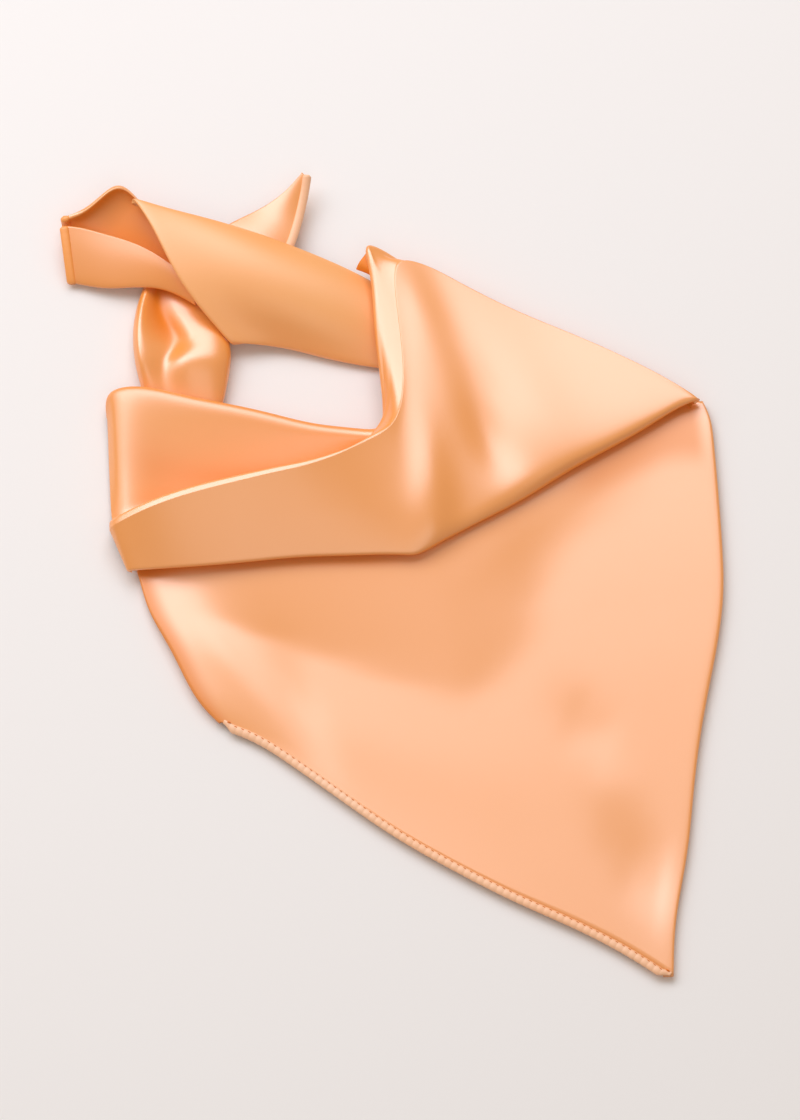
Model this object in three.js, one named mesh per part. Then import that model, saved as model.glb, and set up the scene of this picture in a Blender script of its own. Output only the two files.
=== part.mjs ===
// A 600 mm square satin neckerchief, folded to a triangle, tied in a loose loop and laid on a table.
// Millimetres, +Z up from the table, +X to the right, the front point towards -Y.
import * as THREE from "three";

// Driving sizes
const WALL = 1.2;
const GAP = 0.35;
const SEEN_FROM = THREE.MathUtils.degToRad(70);
const LAYER = WALL + GAP;
const FLOOR_MID = WALL / 2;
const SECOND_MID = FLOOR_MID + LAYER;
const THIRD_MID = SECOND_MID + LAYER;
const RIM_RADIUS = 4.2;
const RIM_RETURN = 13;
const RIM_LEFT_TIP = 0.15;
const RIM_RIGHT_TIP = 0.45;
const RIM_MOUTH = 0.5;
const CREASE_LIP = 3.2;
const TUCK_DEPTH = 12;
const SIDE_RETURN = 14;
const SHEET_REST = 4.8;
const SHEET_DIP = 0.1;
const SHEET_END = 4.2;
const HEM_WIDTH = 3.4;
const HEM_THICK = 2.2;
const HEM_SIDES = 8;
const SATIN = 0xf9bf8f;
const SATIN_IN_SHADE = 0xf5b27c;
const SATIN_HEM = 0xefae7a;

// The fold lines are told as they are seen from the front at SEEN_FROM above the table:
// across and up in the picture plane, and height over the table.
const NECK_RIM = [
  // at, across, up, height
  [0.0, -146.8, 72, 4],
  [0.025, -149.6, 81, 7],
  [0.055, -143, 86.4, 10.5],
  [0.12, -123, 86, 12.4],
  [0.22, -101, 81, 12.4],
  [0.32, -68.5, 74.5, 11.4],
  [0.4, -42, 68, 10.6],
  [0.46, -23, 66, 10],
  [0.5, -10.5, 66.5, 10.6],
  [0.53, -8.5, 75, 13.4],
  [0.57, -10, 92, 16.4],
  [0.62, -13, 121, 18],
  [0.66, -15.5, 146, 17.8],
  [0.685, -17, 158, 17.2],
  [0.705, -9, 155.5, 14.8],
  [0.73, 3, 148, 10.8],
  [0.79, 28, 136.5, 8.6],
  [0.85, 60, 120.5, 7.4],
  [0.91, 97, 105.5, 7],
  [0.96, 131, 89.8, 7.4],
  [1.0, 147.6, 80.2, 7.8],
];
const VALLEY = [
  // at, across, up, height
  [0.0, -143.5, 17, 3.6],
  [0.05, -136, 19.5, 8],
  [0.12, -122, 24, 6],
  [0.22, -100.5, 31, 5.4],
  [0.32, -78.5, 36.5, 5.6],
  [0.4, -57, 42, 6.2],
  [0.46, -40.5, 47, 7.6],
  [0.5, -25, 55, 10.4],
  [0.53, -12, 64.4, 15],
  [0.57, -5, 77, 19.4],
  [0.62, -5, 100, 21.4],
  [0.66, -6, 124, 20.8],
  [0.69, -8, 143, 20],
  [0.71, -6, 151, 18],
  [0.73, 3, 149.8, 15],
  [0.79, 28, 138.5, 12.4],
  [0.85, 60, 122.5, 10.6],
  [0.91, 97, 107.5, 9.4],
  [0.96, 131, 91.2, 9.2],
  [1.0, 148.2, 80.9, 9.2],
];
const CREASE = [
  // at, across, up, height
  [0.0, -144, 17, 16],
  [0.12, -122.5, 27.5, 25],
  [0.22, -101, 34.5, 29],
  [0.32, -79, 40, 31],
  [0.4, -57.5, 45, 31.5],
  [0.46, -41, 49, 31],
  [0.5, -25, 55.5, 29.5],
  [0.53, -11, 62.5, 27.5],
  [0.57, -2.5, 70, 25.5],
  [0.62, 1.5, 85, 23.6],
  [0.66, 1, 108, 22],
  [0.69, -2, 133, 20.8],
  [0.71, -2, 148, 19.4],
  [0.73, 5, 150, 17.2],
  [0.79, 29, 139.5, 14],
  [0.85, 60.5, 123.8, 11.9],
  [0.91, 97.5, 108.5, 10.8],
  [0.96, 131.5, 92, 10.8],
  [1.0, 148.6, 81.4, 10.8],
];
const FLAP_EDGE = [
  // at, across, up, height
  [0.0, -135, -5, 9.4],
  [0.12, -111, -3.5, 13.4],
  [0.22, -90, -2, 15.3],
  [0.32, -69, 0, 16.1],
  [0.4, -45, 2, 16.3],
  [0.46, -25, 2.5, 16.3],
  [0.5, -8, 3, 16.3],
  [0.53, 2, 2.8, 16.3],
  [0.57, 10, 3.5, 16],
  [0.62, 25, 11.5, 15.3],
  [0.66, 42, 20.5, 14.6],
  [0.69, 54, 26.5, 13.2],
  [0.73, 68, 34.5, 12],
  [0.79, 87, 46, 11.1],
  [0.85, 106, 56.5, 10.6],
  [0.91, 125, 67.5, 10.2],
  [0.96, 140, 76.8, 10],
  [1.0, 149, 80.6, 10.2],
];
// How far the bulk of the knot's folds lifts the sheet under the flap, and how far out it slopes down.
const SHEET_FALL = [
  // at, lift, reach of the slope
  [0.0, 1.2, 12],
  [0.12, 6, 28],
  [0.22, 8.8, 40],
  [0.32, 10.2, 52],
  [0.4, 10.4, 60],
  [0.5, 10.4, 68],
  [0.57, 10, 72],
  [0.62, 9.2, 72],
  [0.66, 8.2, 66],
  [0.69, 6.8, 48],
  [0.73, 5.6, 34],
  [0.79, 4.9, 30],
  [0.85, 4.3, 30],
  [0.91, 3.3, 28],
  [0.96, 1.8, 24],
  [1.0, 0.3, 12],
];
// Where the flap's face is fullest between the crease and the edge, and how much.
const FACE_RISE = [
  // at, share of the way, rise
  [0.0, 0.5, 0.3],
  [0.4, 0.56, 0.5],
  [0.5, 0.62, 1.2],
  [0.55, 0.7, 2.2],
  [0.6, 0.82, 3.4],
  [0.66, 0.9, 4.2],
  [0.73, 0.94, 4.2],
  [0.79, 0.95, 4],
  [0.85, 0.95, 3.6],
  [0.91, 0.94, 2.8],
  [0.96, 0.88, 1.6],
  [1.0, 0.6, 0.5],
];

// The front point: its two rolled sides and its hem, each from the first named end to the last.
const LEFT_SIDE = [
  // at, across, up, radius of the rolled edge
  [0.0, -134, 2, 0.8],
  [0.14, -130, -10, 1.1],
  [0.3, -125.5, -24.5, 1.5],
  [0.5, -116, -42, 2.2],
  [0.7, -107.5, -58.5, 2.2],
  [0.88, -98.5, -73, 1.7],
  [1.0, -90, -81.5, 1],
];
const RIGHT_SIDE = [
  // at, across, up, radius of the rolled edge
  [0.0, 151.4, 79.5, 0.7],
  [0.05, 155, 72.5, 1],
  [0.12, 157.2, 57, 1.2],
  [0.22, 159, 36, 1.3],
  [0.36, 161.5, -2, 1.4],
  [0.43, 161.5, -20, 1.4],
  [0.53, 157, -50, 1.4],
  [0.65, 150.5, -83, 1.3],
  [0.76, 146, -118, 1.2],
  [0.87, 142, -153, 1.1],
  [0.95, 136.5, -184, 1],
  [1.0, 136, -207, 0.9],
];
const FRONT_HEM_LINE = [
  // at, across, up, height
  [0.0, -90, -81.5, 2.4],
  [0.07, -73, -87.5, 3.4],
  [0.15, -55, -98.5, 4],
  [0.25, -32, -114.5, 4.2],
  [0.4, 0, -136, 4.2],
  [0.53, 29.5, -152.5, 4],
  [0.66, 58.5, -167, 4],
  [0.79, 88, -180, 4],
  [0.92, 118, -195.5, 3.4],
  [1.0, 136, -207, 3],
];
// Soft swells and dents of the front point and the panel.
const FRONT_SWELLS = [
  { across: 94, up: -86, long: 18, wide: 8, turn: -58, rise: -1.6 },
  { across: 129, up: -166, long: 34, wide: 11, turn: -60, rise: -5.4 },
  { across: -50, up: -68, long: 30, wide: 7, turn: -68, rise: -1.6 },
  { across: -90, up: -46, long: 46, wide: 8, turn: -50, rise: 1.5 },
];
const PANEL_SWELLS = [
  { across: 43, up: 62, long: 24, wide: 8, turn: -84, rise: -5.2 },
  { across: 33, up: 34, long: 20, wide: 9, turn: 52, rise: -3 },
  { across: 16, up: 38, long: 40, wide: 9, turn: 97, rise: 2.8 },
  { across: 72, up: 66, long: 34, wide: 18, turn: -60, rise: 2.2 },
];

// The strip round the back of the neck, from its diagonal fold to where the panel hides it.
const BAND_BACK = [
  // at, across, up, height
  [0.0, -134, 183, 22.5],
  [0.1, -118, 178, 21.5],
  [0.25, -94, 172, 20],
  [0.45, -60, 161, 16],
  [0.7, -23, 145.5, 9.8],
  [0.88, -7, 136.5, 7.5],
  [1.0, 2, 131.5, 6.5],
];
const BAND_FRONT = [
  // at, across, up, height
  [0.0, -83, 107.5, 10],
  [0.25, -58, 105, 4.6],
  [0.5, -36, 99.5, 3.4],
  [0.75, -14, 95.5, 3.2],
  [1.0, 2, 93.5, 3.2],
];
const BAND_DIAGONAL = [
  // at, across, up, height
  [0.0, -134, 183, 22.5],
  [0.16, -125.5, 171, 25],
  [0.38, -117, 154, 25],
  [0.6, -107.5, 137, 22.4],
  [0.82, -95, 121.5, 16.4],
  [1.0, -83, 107.5, 10],
];

// The hollow end to the left: its near lip, its underside and its far wall.
const TAIL_LIP = [
  // at, across, up, height
  [0.0, -167, 167.5, 12.5],
  [0.2, -159, 166.5, 12.5],
  [0.4, -148, 163.5, 13],
  [0.6, -132, 158.5, 15],
  [0.8, -118, 150.5, 17.3],
  [1.0, -106, 142, 18.6],
];
const TAIL_UNDER = [
  // at, across, up, height
  [0.0, -163, 136.5, 3],
  [0.2, -155, 135, 4],
  [0.4, -143.5, 134, 6],
  [0.6, -128, 135, 9],
  [0.8, -114, 132.5, 11],
  [1.0, -102, 126, 12.5],
];
const TAIL_FAR = [
  // at, across, up, height
  [0.0, -166.5, 170.5, 11.5],
  [0.2, -157, 175, 16],
  [0.4, -147, 184, 21],
  [0.6, -138, 186, 20.5],
  [0.8, -127, 174, 16.6],
  [1.0, -114, 159, 13.6],
];

// The strand that rises out of the collar into the knot.
const RISER = [
  {
    up: 139, left: -127, ridge: -125.5, groove: -120, belly: -110, right: -96,
    high: 5.6, low: 2.4, full: 5.6,
  },
  {
    up: 131, left: -130.5, ridge: -128, groove: -121, belly: -107, right: -93,
    high: 8.6, low: 2.2, full: 7.2,
  },
  {
    up: 123, left: -132.5, ridge: -129.5, groove: -119, belly: -106.5, right: -89.5,
    high: 11.5, low: 2.2, full: 9.6,
  },
  {
    up: 115, left: -133.5, ridge: -129.5, groove: -114, belly: -103, right: -87,
    high: 13, low: 2.8, full: 12,
  },
  {
    up: 108, left: -133.5, ridge: -129, groove: -110.5, belly: -101, right: -85,
    high: 13.5, low: 5, full: 13.4,
  },
  {
    up: 101, left: -132.8, ridge: -128, groove: -117, belly: -107, right: -84.4,
    high: 13, low: 8.6, full: 15,
  },
  {
    up: 94, left: -131.6, ridge: -126, groove: -118.5, belly: -106, right: -85.6,
    high: 10.9, low: 8.2, full: 12.3,
  },
  {
    up: 87, left: -129.8, ridge: -124, groove: -117, belly: -104, right: -87.8,
    high: 8.5, low: 7.4, full: 8.8,
  },
  {
    up: 80.5, left: -128, ridge: -122, groove: -116, belly: -104, right: -90,
    high: 6.8, low: 6.2, full: 6.8,
  },
];
const RISER_SLANT = 0.2;

// The pointed end behind the strip.
const POINT_LEFT = [
  // at, across, up, height
  [0.0, -96, 160, 12.6],
  [0.35, -84, 169.5, 12.2],
  [0.6, -70, 176, 10],
  [0.82, -57.5, 185, 11],
  [1.0, -49.2, 194.5, 13],
];
const POINT_RIGHT = [
  // at, across, up, height
  [0.0, -61, 148, 11],
  [0.35, -56, 160, 10.2],
  [0.6, -52.5, 171, 9],
  [0.82, -49.5, 184, 10.5],
  [1.0, -48.2, 193.5, 13],
];

// A smooth curve of any number of values through the rows of a table whose first column is the place.
function curveThrough(rows) {
  const n = rows.length;
  const at = rows.map((row) => row[0]);
  const width = rows[0].length - 1;
  const bend = [];
  for (let c = 1; c <= width; c++) {
    const second = new Array(n).fill(0);
    const upper = new Array(n).fill(0);
    const right = new Array(n).fill(0);
    for (let i = 1; i < n - 1; i++) {
      const before = at[i] - at[i - 1];
      const after = at[i + 1] - at[i];
      const slopes = (rows[i + 1][c] - rows[i][c]) / after - (rows[i][c] - rows[i - 1][c]) / before;
      const pivot = 2 * (before + after) - before * upper[i - 1];
      upper[i] = after / pivot;
      right[i] = (6 * slopes - before * right[i - 1]) / pivot;
    }
    for (let i = n - 2; i > 0; i--) second[i] = right[i] - upper[i] * second[i + 1];
    bend.push(second);
  }
  return (place) => {
    let i = 0;
    while (i < n - 2 && place > at[i + 1]) i++;
    const span = at[i + 1] - at[i];
    const b = (place - at[i]) / span;
    const a = 1 - b;
    return bend.map(
      (second, c) =>
        a * rows[i][c + 1] +
        b * rows[i + 1][c + 1] +
        (((a ** 3 - a) * second[i] + (b ** 3 - b) * second[i + 1]) * span * span) / 6,
    );
  };
}

// A point told as it is seen, in the part's own frame.
function placed(across, up, height) {
  return new THREE.Vector3(across, (up - height * Math.cos(SEEN_FROM)) / Math.sin(SEEN_FROM), height);
}
const mix = (a, b, share) => a + (b - a) * share;
const smooth = (x) => {
  const t = Math.min(1, Math.max(0, x));
  return t * t * (3 - 2 * t);
};

// Four weights of the uniform cubic spline.
function weights(t) {
  const s = 1 - t;
  return [s ** 3 / 6, (3 * t ** 3 - 6 * t ** 2 + 4) / 6, (3 * s ** 3 - 6 * s ** 2 + 4) / 6, t ** 3 / 6];
}
function control(list, i) {
  if (i < 0) return list[0].clone().multiplyScalar(2).sub(list[1]);
  if (i >= list.length) return list.at(-1).clone().multiplyScalar(2).sub(list.at(-2));
  return list[i];
}
function along(list, t) {
  const i = Math.min(Math.floor(t), list.length - 2);
  const w = weights(t - i);
  const sum = new THREE.Vector3();
  w.forEach((value, k) => sum.addScaledVector(control(list, i + k - 1), value));
  return sum;
}

// The surface of a net of guide points, as rows of points: perSpan points to each guide.
function surfaceOf(net, rowsPerSpan, columnsPerSpan) {
  const columns = Math.round((net[0].length - 1) * columnsPerSpan);
  const rows = Math.round((net.length - 1) * rowsPerSpan);
  const half = net.map((row) => {
    const line = [];
    for (let c = 0; c <= columns; c++) line.push(along(row, ((row.length - 1) * c) / columns));
    return line;
  });
  const out = [];
  for (let r = 0; r <= rows; r++) {
    const t = ((net.length - 1) * r) / rows;
    out.push(half[0].map((_, c) => along(half.map((line) => line[c]), t)));
  }
  return out;
}

// A closed sheet of even thickness about a grid of points.
function sheetSolid(grid, thickness) {
  const rows = grid.length;
  const columns = grid[0].length;
  const at = (r, c) => grid[Math.min(rows - 1, Math.max(0, r))][Math.min(columns - 1, Math.max(0, c))];
  const points = [];
  for (const side of [0.5, -0.5])
    for (let r = 0; r < rows; r++)
      for (let c = 0; c < columns; c++) {
        const down = at(r + 1, c).clone().sub(at(r - 1, c));
        const across = at(r, c + 1).clone().sub(at(r, c - 1));
        const normal = across.cross(down).negate().normalize();
        points.push(grid[r][c].clone().addScaledVector(normal, side * thickness));
      }
  const top = (r, c) => r * columns + c;
  const low = (r, c) => rows * columns + r * columns + c;
  const faces = [];
  const quad = (a, b, c, d) => faces.push(a, b, c, a, c, d);
  for (let r = 0; r < rows - 1; r++)
    for (let c = 0; c < columns - 1; c++) {
      quad(top(r, c), top(r + 1, c), top(r + 1, c + 1), top(r, c + 1));
      quad(low(r, c), low(r, c + 1), low(r + 1, c + 1), low(r + 1, c));
    }
  for (let r = 0; r < rows - 1; r++) {
    quad(top(r, 0), low(r, 0), low(r + 1, 0), top(r + 1, 0));
    quad(top(r, columns - 1), top(r + 1, columns - 1), low(r + 1, columns - 1), low(r, columns - 1));
  }
  for (let c = 0; c < columns - 1; c++) {
    quad(top(0, c), top(0, c + 1), low(0, c + 1), low(0, c));
    quad(top(rows - 1, c), low(rows - 1, c), low(rows - 1, c + 1), top(rows - 1, c + 1));
  }
  return solid(points, faces);
}
function solid(points, faces) {
  const geometry = new THREE.BufferGeometry();
  geometry.setAttribute("position", new THREE.Float32BufferAttribute(points.flatMap((p) => p.toArray()), 3));
  geometry.setIndex(faces);
  geometry.computeVertexNormals();
  return geometry;
}

// What the swells of a table add to the height at a place of the picture plane.
function swell(table, across, up) {
  let rise = 0;
  for (const s of table) {
    const turn = THREE.MathUtils.degToRad(s.turn);
    const dx = across - s.across;
    const dy = up - s.up;
    const lengthwise = (dx * Math.cos(turn) + dy * Math.sin(turn)) / s.long;
    const crosswise = (-dx * Math.sin(turn) + dy * Math.cos(turn)) / s.wide;
    rise += s.rise * Math.exp(-(lengthwise ** 2 + crosswise ** 2));
  }
  return rise;
}

// The collar and its panel: rolled rim, valley, sharp crease, face, and the lower edge tucked under.
const rimAt = curveThrough(NECK_RIM);
const valleyAt = curveThrough(VALLEY);
const creaseAt = curveThrough(CREASE);
const edgeAt = curveThrough(FLAP_EDGE);
const fallAt = curveThrough(SHEET_FALL);
const riseAt = curveThrough(FACE_RISE);
const COLLAR_STATIONS = [];
for (let i = 0; i < 11; i++) COLLAR_STATIONS.push((0.48 * i) / 11);
for (let i = 0; i < 15; i++) COLLAR_STATIONS.push(0.48 + (0.28 * i) / 15);
for (let i = 0; i <= 8; i++) COLLAR_STATIONS.push(0.76 + (0.24 * i) / 8);

function flat(v) {
  return new THREE.Vector3(v.x, v.y, 0);
}
function collarProfile(at) {
  const rim = rimAt(at);
  const valley = placed(...valleyAt(at));
  const crease = placed(...creaseAt(at));
  const edge = placed(...edgeAt(at));
  const narrow = smooth((1.02 - at) / 0.2);
  const panel = smooth((at - 0.735) / 0.04);
  const mouth = smooth((at - 0.5) / 0.04) * (1 - panel);
  const tips = mix(RIM_RIGHT_TIP, 1, narrow) * mix(RIM_LEFT_TIP, 1, smooth(at / 0.045));
  const radius = RIM_RADIUS * tips * mix(1, RIM_MOUTH, mouth);
  const step = 0.004;
  const before = rimAt(Math.max(0, at - step));
  const after = rimAt(Math.min(1, at + step));
  const out = new THREE.Vector3(before[1] - after[1], after[0] - before[0], 0).normalize();
  const centre = placed(rim[0] - out.x * radius, rim[1] - out.y * radius, rim[2]);
  const round = (angle, scale) => {
    const a = THREE.MathUtils.degToRad(angle);
    return centre
      .clone()
      .addScaledVector(out, Math.cos(a) * radius * scale)
      .add(new THREE.Vector3(0, 0, Math.sin(a) * radius * scale));
  };
  const inward = out.clone().negate();
  const reach = mix(mix(RIM_RETURN, 5, mouth), 0.8 * centre.z, panel) * mix(0.3, 1, narrow);
  const under = centre.clone().addScaledVector(inward, reach);
  const level = mix(SECOND_MID, THIRD_MID + 1.9, smooth((at - 0.86) / 0.1));
  under.z = Math.max(level, centre.z - radius - mix(mix(5, 2.4, mouth), 30, panel) * narrow);
  const belly = centre.clone().addScaledVector(inward, reach * 0.35);
  belly.z = mix(centre.z - radius, under.z, 0.5);
  const flare = Math.exp(-(((at - 0.672) / 0.014) ** 2));
  under.lerp(placed(-24.5, 144.5, 11), flare);
  belly.lerp(placed(-22, 149, 15), flare);
  const back = flat(crease).sub(flat(edge)).normalize();
  const room = flat(crease).distanceTo(flat(edge));
  const depth = Math.min(TUCK_DEPTH, room * 0.4);
  const rows = [under, belly, round(-90, 1), round(-30, 1.15), round(30, 1.15), round(90, 1.05)];
  const top = round(90, 1);
  const toRim = flat(top).sub(flat(crease)).normalize();
  const lip = crease.clone().addScaledVector(toRim, mix(CREASE_LIP, 0.8, smooth((at - 0.5) / 0.06)));
  lip.z -= 0.4;
  rows.push(top.clone().lerp(valley, 0.28), top.clone().lerp(valley, 0.7), valley);
  rows.push(lip, crease, crease.clone());
  const [full, rise] = riseAt(at);
  const face = (share, part) => {
    const p = crease.clone().lerp(edge, share);
    p.z += rise * part;
    return p;
  };
  rows.push(face(full * 0.16, 0.2), face(full * 0.5, 0.62), face(full, 1));
  rows.push(face(mix(full, 1, 0.6), 0.72), face(mix(full, 1, 0.88), 0.3), edge);
  const cornerLift = 2 * (1 - smooth(at / 0.1)) + 2.6 * smooth((at - 0.88) / 0.12);
  const lift = cornerLift + fallAt(at)[0];
  const tuck = (share, z) => {
    const p = edge.clone().addScaledVector(back, depth * share);
    p.z = z + lift;
    return p;
  };
  rows.push(tuck(0.02, edge.z - 2 - lift), tuck(0.4, THIRD_MID + 0.7));
  rows.push(tuck(1, THIRD_MID + mix(0.2, 0.55, smooth((at - 0.55) / 0.1))));
  return rows;
}
function collarNet() {
  const profiles = COLLAR_STATIONS.map(collarProfile);
  const count = profiles[0].length;
  const net = [];
  for (let k = 0; k < count; k++) {
    const row = profiles.map((profile) => profile[k].clone());
    const inner = k > 5 && k < count - 3;
    if (inner)
      for (const p of row) {
        const up = p.y * Math.sin(SEEN_FROM) + p.z * Math.cos(SEEN_FROM);
        p.z += swell(PANEL_SWELLS, p.x, up) * smooth((p.z - 6) / 12);
      }
    const first = row[0];
    const last = row.at(-1);
    const ends = (tip, next, rest) => {
      const out = flat(tip).sub(flat(next)).normalize();
      const drop = k < count - 3 ? Math.max(0, tip.z - rest) : 0;
      const side = tip.clone().addScaledVector(out, 0.8 * Math.min(2.2, drop));
      side.z -= drop * 0.55;
      const low = tip.clone().addScaledVector(out, -1.2);
      low.z -= drop;
      return [side, low];
    };
    const [leftSide, leftLow] = ends(first, row[1], k < 9 ? SECOND_MID + 0.4 : THIRD_MID + 1.8);
    const [rightSide, rightLow] = ends(last, row.at(-2), THIRD_MID + 2.2);
    net.push([leftLow, leftSide, ...row, rightSide, rightLow]);
  }
  return net;
}

// The front point: a sheet from under the collar to the hem, with both sides rolled under.
const leftAt = curveThrough(LEFT_SIDE);
const rightAt = curveThrough(RIGHT_SIDE);
const hemAt = curveThrough(FRONT_HEM_LINE);
function sideOf(at, curve, sign) {
  const [across, up, radius] = curve(at);
  const step = 0.01;
  const a = curve(Math.max(0, at - step));
  const b = curve(Math.min(1, at + step));
  const out = new THREE.Vector3(a[1] - b[1], b[0] - a[0], 0).normalize().multiplyScalar(sign);
  return { across: across - out.x * radius, up: up - out.y * radius, radius, out };
}
function startOf(at) {
  const rows = collarProfile(at);
  const inner = rows.at(-1).clone();
  const height = SECOND_MID + fallAt(at)[0];
  return { across: inner.x, up: inner.y * Math.sin(SEEN_FROM) + height * Math.cos(SEEN_FROM) };
}
function hemInner(u) {
  const [across, up] = hemAt(u);
  const a = hemAt(Math.max(0, u - 0.01));
  const b = hemAt(Math.min(1, u + 0.01));
  const into = new THREE.Vector2(a[1] - b[1], b[0] - a[0]).normalize();
  return [across + into.x * (HEM_WIDTH + GAP), up + into.y * (HEM_WIDTH + GAP)];
}
const FRONT_ROWS = [0, 0.05, 0.1, 0.16, 0.23, 0.31, 0.4, 0.5, 0.6, 0.7, 0.8, 0.88, 0.95, 1];
const FRONT_COLUMNS = [0, 0.05, 0.11, 0.18, 0.26, 0.34, 0.42, 0.5, 0.58, 0.66, 0.74, 0.81, 0.87, 0.92, 0.96, 1];
function frontNet() {
  const start0 = startOf(0);
  const start1 = startOf(1);
  const h0 = hemInner(0);
  const h1 = hemInner(1);
  const corner = {
    a: sideOf(0, leftAt, -1),
    b: sideOf(0, rightAt, 1),
    c: sideOf(1, leftAt, -1),
    d: sideOf(1, rightAt, 1),
  };
  return FRONT_ROWS.map((v) => {
    const left = sideOf(v, leftAt, -1);
    const right = sideOf(v, rightAt, 1);
    const leftTop = SECOND_MID + 2 * left.radius;
    const rightTop = SECOND_MID + 2 * right.radius;
    const line = FRONT_COLUMNS.map((u) => {
      const s = startOf(u);
      const start = {
        across: s.across - mix(start0.across - corner.a.across, start1.across - corner.b.across, u),
        up: s.up - mix(start0.up - corner.a.up, start1.up - corner.b.up, u),
      };
      const h = hemInner(u);
      const hem = {
        across: h[0] - mix(h0[0] - corner.c.across, h1[0] - corner.d.across, u),
        up: h[1] - mix(h0[1] - corner.c.up, h1[1] - corner.d.up, u),
      };
      const patch = (key) =>
        mix(start[key], hem[key], v) +
        mix(left[key], right[key], u) -
        mix(mix(corner.a[key], corner.b[key], u), mix(corner.c[key], corner.d[key], u), v);
      const across = patch("across");
      const up = patch("up");
      const run = Math.hypot(across - start.across, up - start.up);
      const clear = smooth((run - TUCK_DEPTH) / 20);
      const [lift, reach] = fallAt(u);
      const slope = Math.min(1, Math.max(0, (run - TUCK_DEPTH * 0.5) / (TUCK_DEPTH * 0.5 + reach)));
      const settle = (SHEET_REST - SHEET_END) * smooth((v - 0.72) / 0.28);
      const dip = SHEET_DIP * lift * (1 - smooth((u - 0.5) / 0.2) * 0.6);
      const edgeLift = dip * (1 - smooth((run - TUCK_DEPTH * 0.5) / TUCK_DEPTH));
      const body = mix(SECOND_MID + lift - dip, SHEET_REST, slope) - settle + edgeLift;
      const leftShare = 1 - smooth(u / 0.2);
      const rightShare = 1 - smooth((1 - u) / mix(0.14, 0.42, smooth(v / 0.3)));
      const shoulder = smooth((run - TUCK_DEPTH * 0.7) / 12);
      const sides =
        body +
        (leftTop - body) * leftShare * mix(1 - smooth(u / 0.05), 1, shoulder) +
        (rightTop - body) * rightShare * mix(1 - smooth((1 - u) / 0.04), 1, shoulder);
      const free = clear * smooth((1 - v) / 0.1) * smooth(u / 0.1) * smooth((1 - u) / 0.08);
      const height = Math.max(SECOND_MID, sides + swell(FRONT_SWELLS, across, up) * free);
      return placed(across, up, height);
    });
    const roll = (side) => {
      const centre = placed(side.across, side.up, SECOND_MID + side.radius);
      const at = (angle, scale) => {
        const a = THREE.MathUtils.degToRad(angle);
        return centre
          .clone()
          .addScaledVector(side.out, Math.cos(a) * side.radius * scale)
          .add(new THREE.Vector3(0, 0, Math.sin(a) * side.radius * scale));
      };
      const inner = at(-90, 1).addScaledVector(side.out, -SIDE_RETURN * Math.min(1, side.radius / 3));
      return [inner, at(-90, 1), at(-35, 1.2), at(35, 1.2)];
    };
    return [...roll(left), ...line, ...roll(right).reverse()];
  });
}

// A net over four bounding curves of seen points, with the rise added over its middle.
function patchNet(first, last, from, to, rows, columns, rise) {
  const a = from(0);
  const b = from(1);
  const c = to(0);
  const d = to(1);
  return rows.map((v) =>
    columns.map((u) => {
      const p = [0, 1, 2].map(
        (k) =>
          mix(from(u)[k], to(u)[k], v) +
          mix(first(v)[k], last(v)[k], u) -
          mix(mix(a[k], b[k], u), mix(c[k], d[k], u), v),
      );
      return placed(p[0], p[1], p[2] + rise(u, v));
    }),
  );
}
const BAND_ROWS = [0, 0.08, 0.2, 0.36, 0.54, 0.72, 0.87, 1];
const BAND_COLUMNS = [0, 0.06, 0.14, 0.24, 0.36, 0.48, 0.6, 0.72, 0.84, 1];
function bandNet() {
  const back = curveThrough(BAND_BACK);
  const front = curveThrough(BAND_FRONT);
  const diagonal = curveThrough(BAND_DIAGONAL);
  const b1 = back(1);
  const f1 = front(1);
  const hidden = (v) => [mix(b1[0], f1[0], v), mix(b1[1], f1[1], v), mix(b1[2], f1[2], v)];
  const hump = (u, v) =>
    mix(6.6, 4, smooth((u - 0.45) / 0.45)) * Math.sin(Math.PI * v ** 0.78) * smooth(u / 0.35);
  const net = patchNet(diagonal, hidden, back, front, BAND_ROWS, BAND_COLUMNS, hump);
  const inward = new THREE.Vector3(0.95, -0.3, 0);
  for (const [r, row] of net.entries()) {
    const fold = row[0];
    const share = BAND_ROWS[r];
    const low = fold.clone().addScaledVector(inward, 1.5);
    low.z -= 3.2;
    inward.y = mix(-0.35, 0.14, share);
    const inner = fold.clone().addScaledVector(inward, mix(16, 9, share));
    inner.z -= mix(4, 3.2, share);
    row.unshift(inner, low, fold.clone().add(new THREE.Vector3(-0.6, -0.6, -1.5)));
  }
  const upper = net[0].map((p) => p.clone().add(new THREE.Vector3(0, -3, -2.4)));
  const lower = net.at(-1).map((p) => p.clone().add(new THREE.Vector3(0, 3.4, -1.4)));
  for (const p of lower) p.z = Math.max(p.z, FLOOR_MID + 0.2);
  return [upper, ...net, lower];
}
const TAIL_STEPS = 10;
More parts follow.
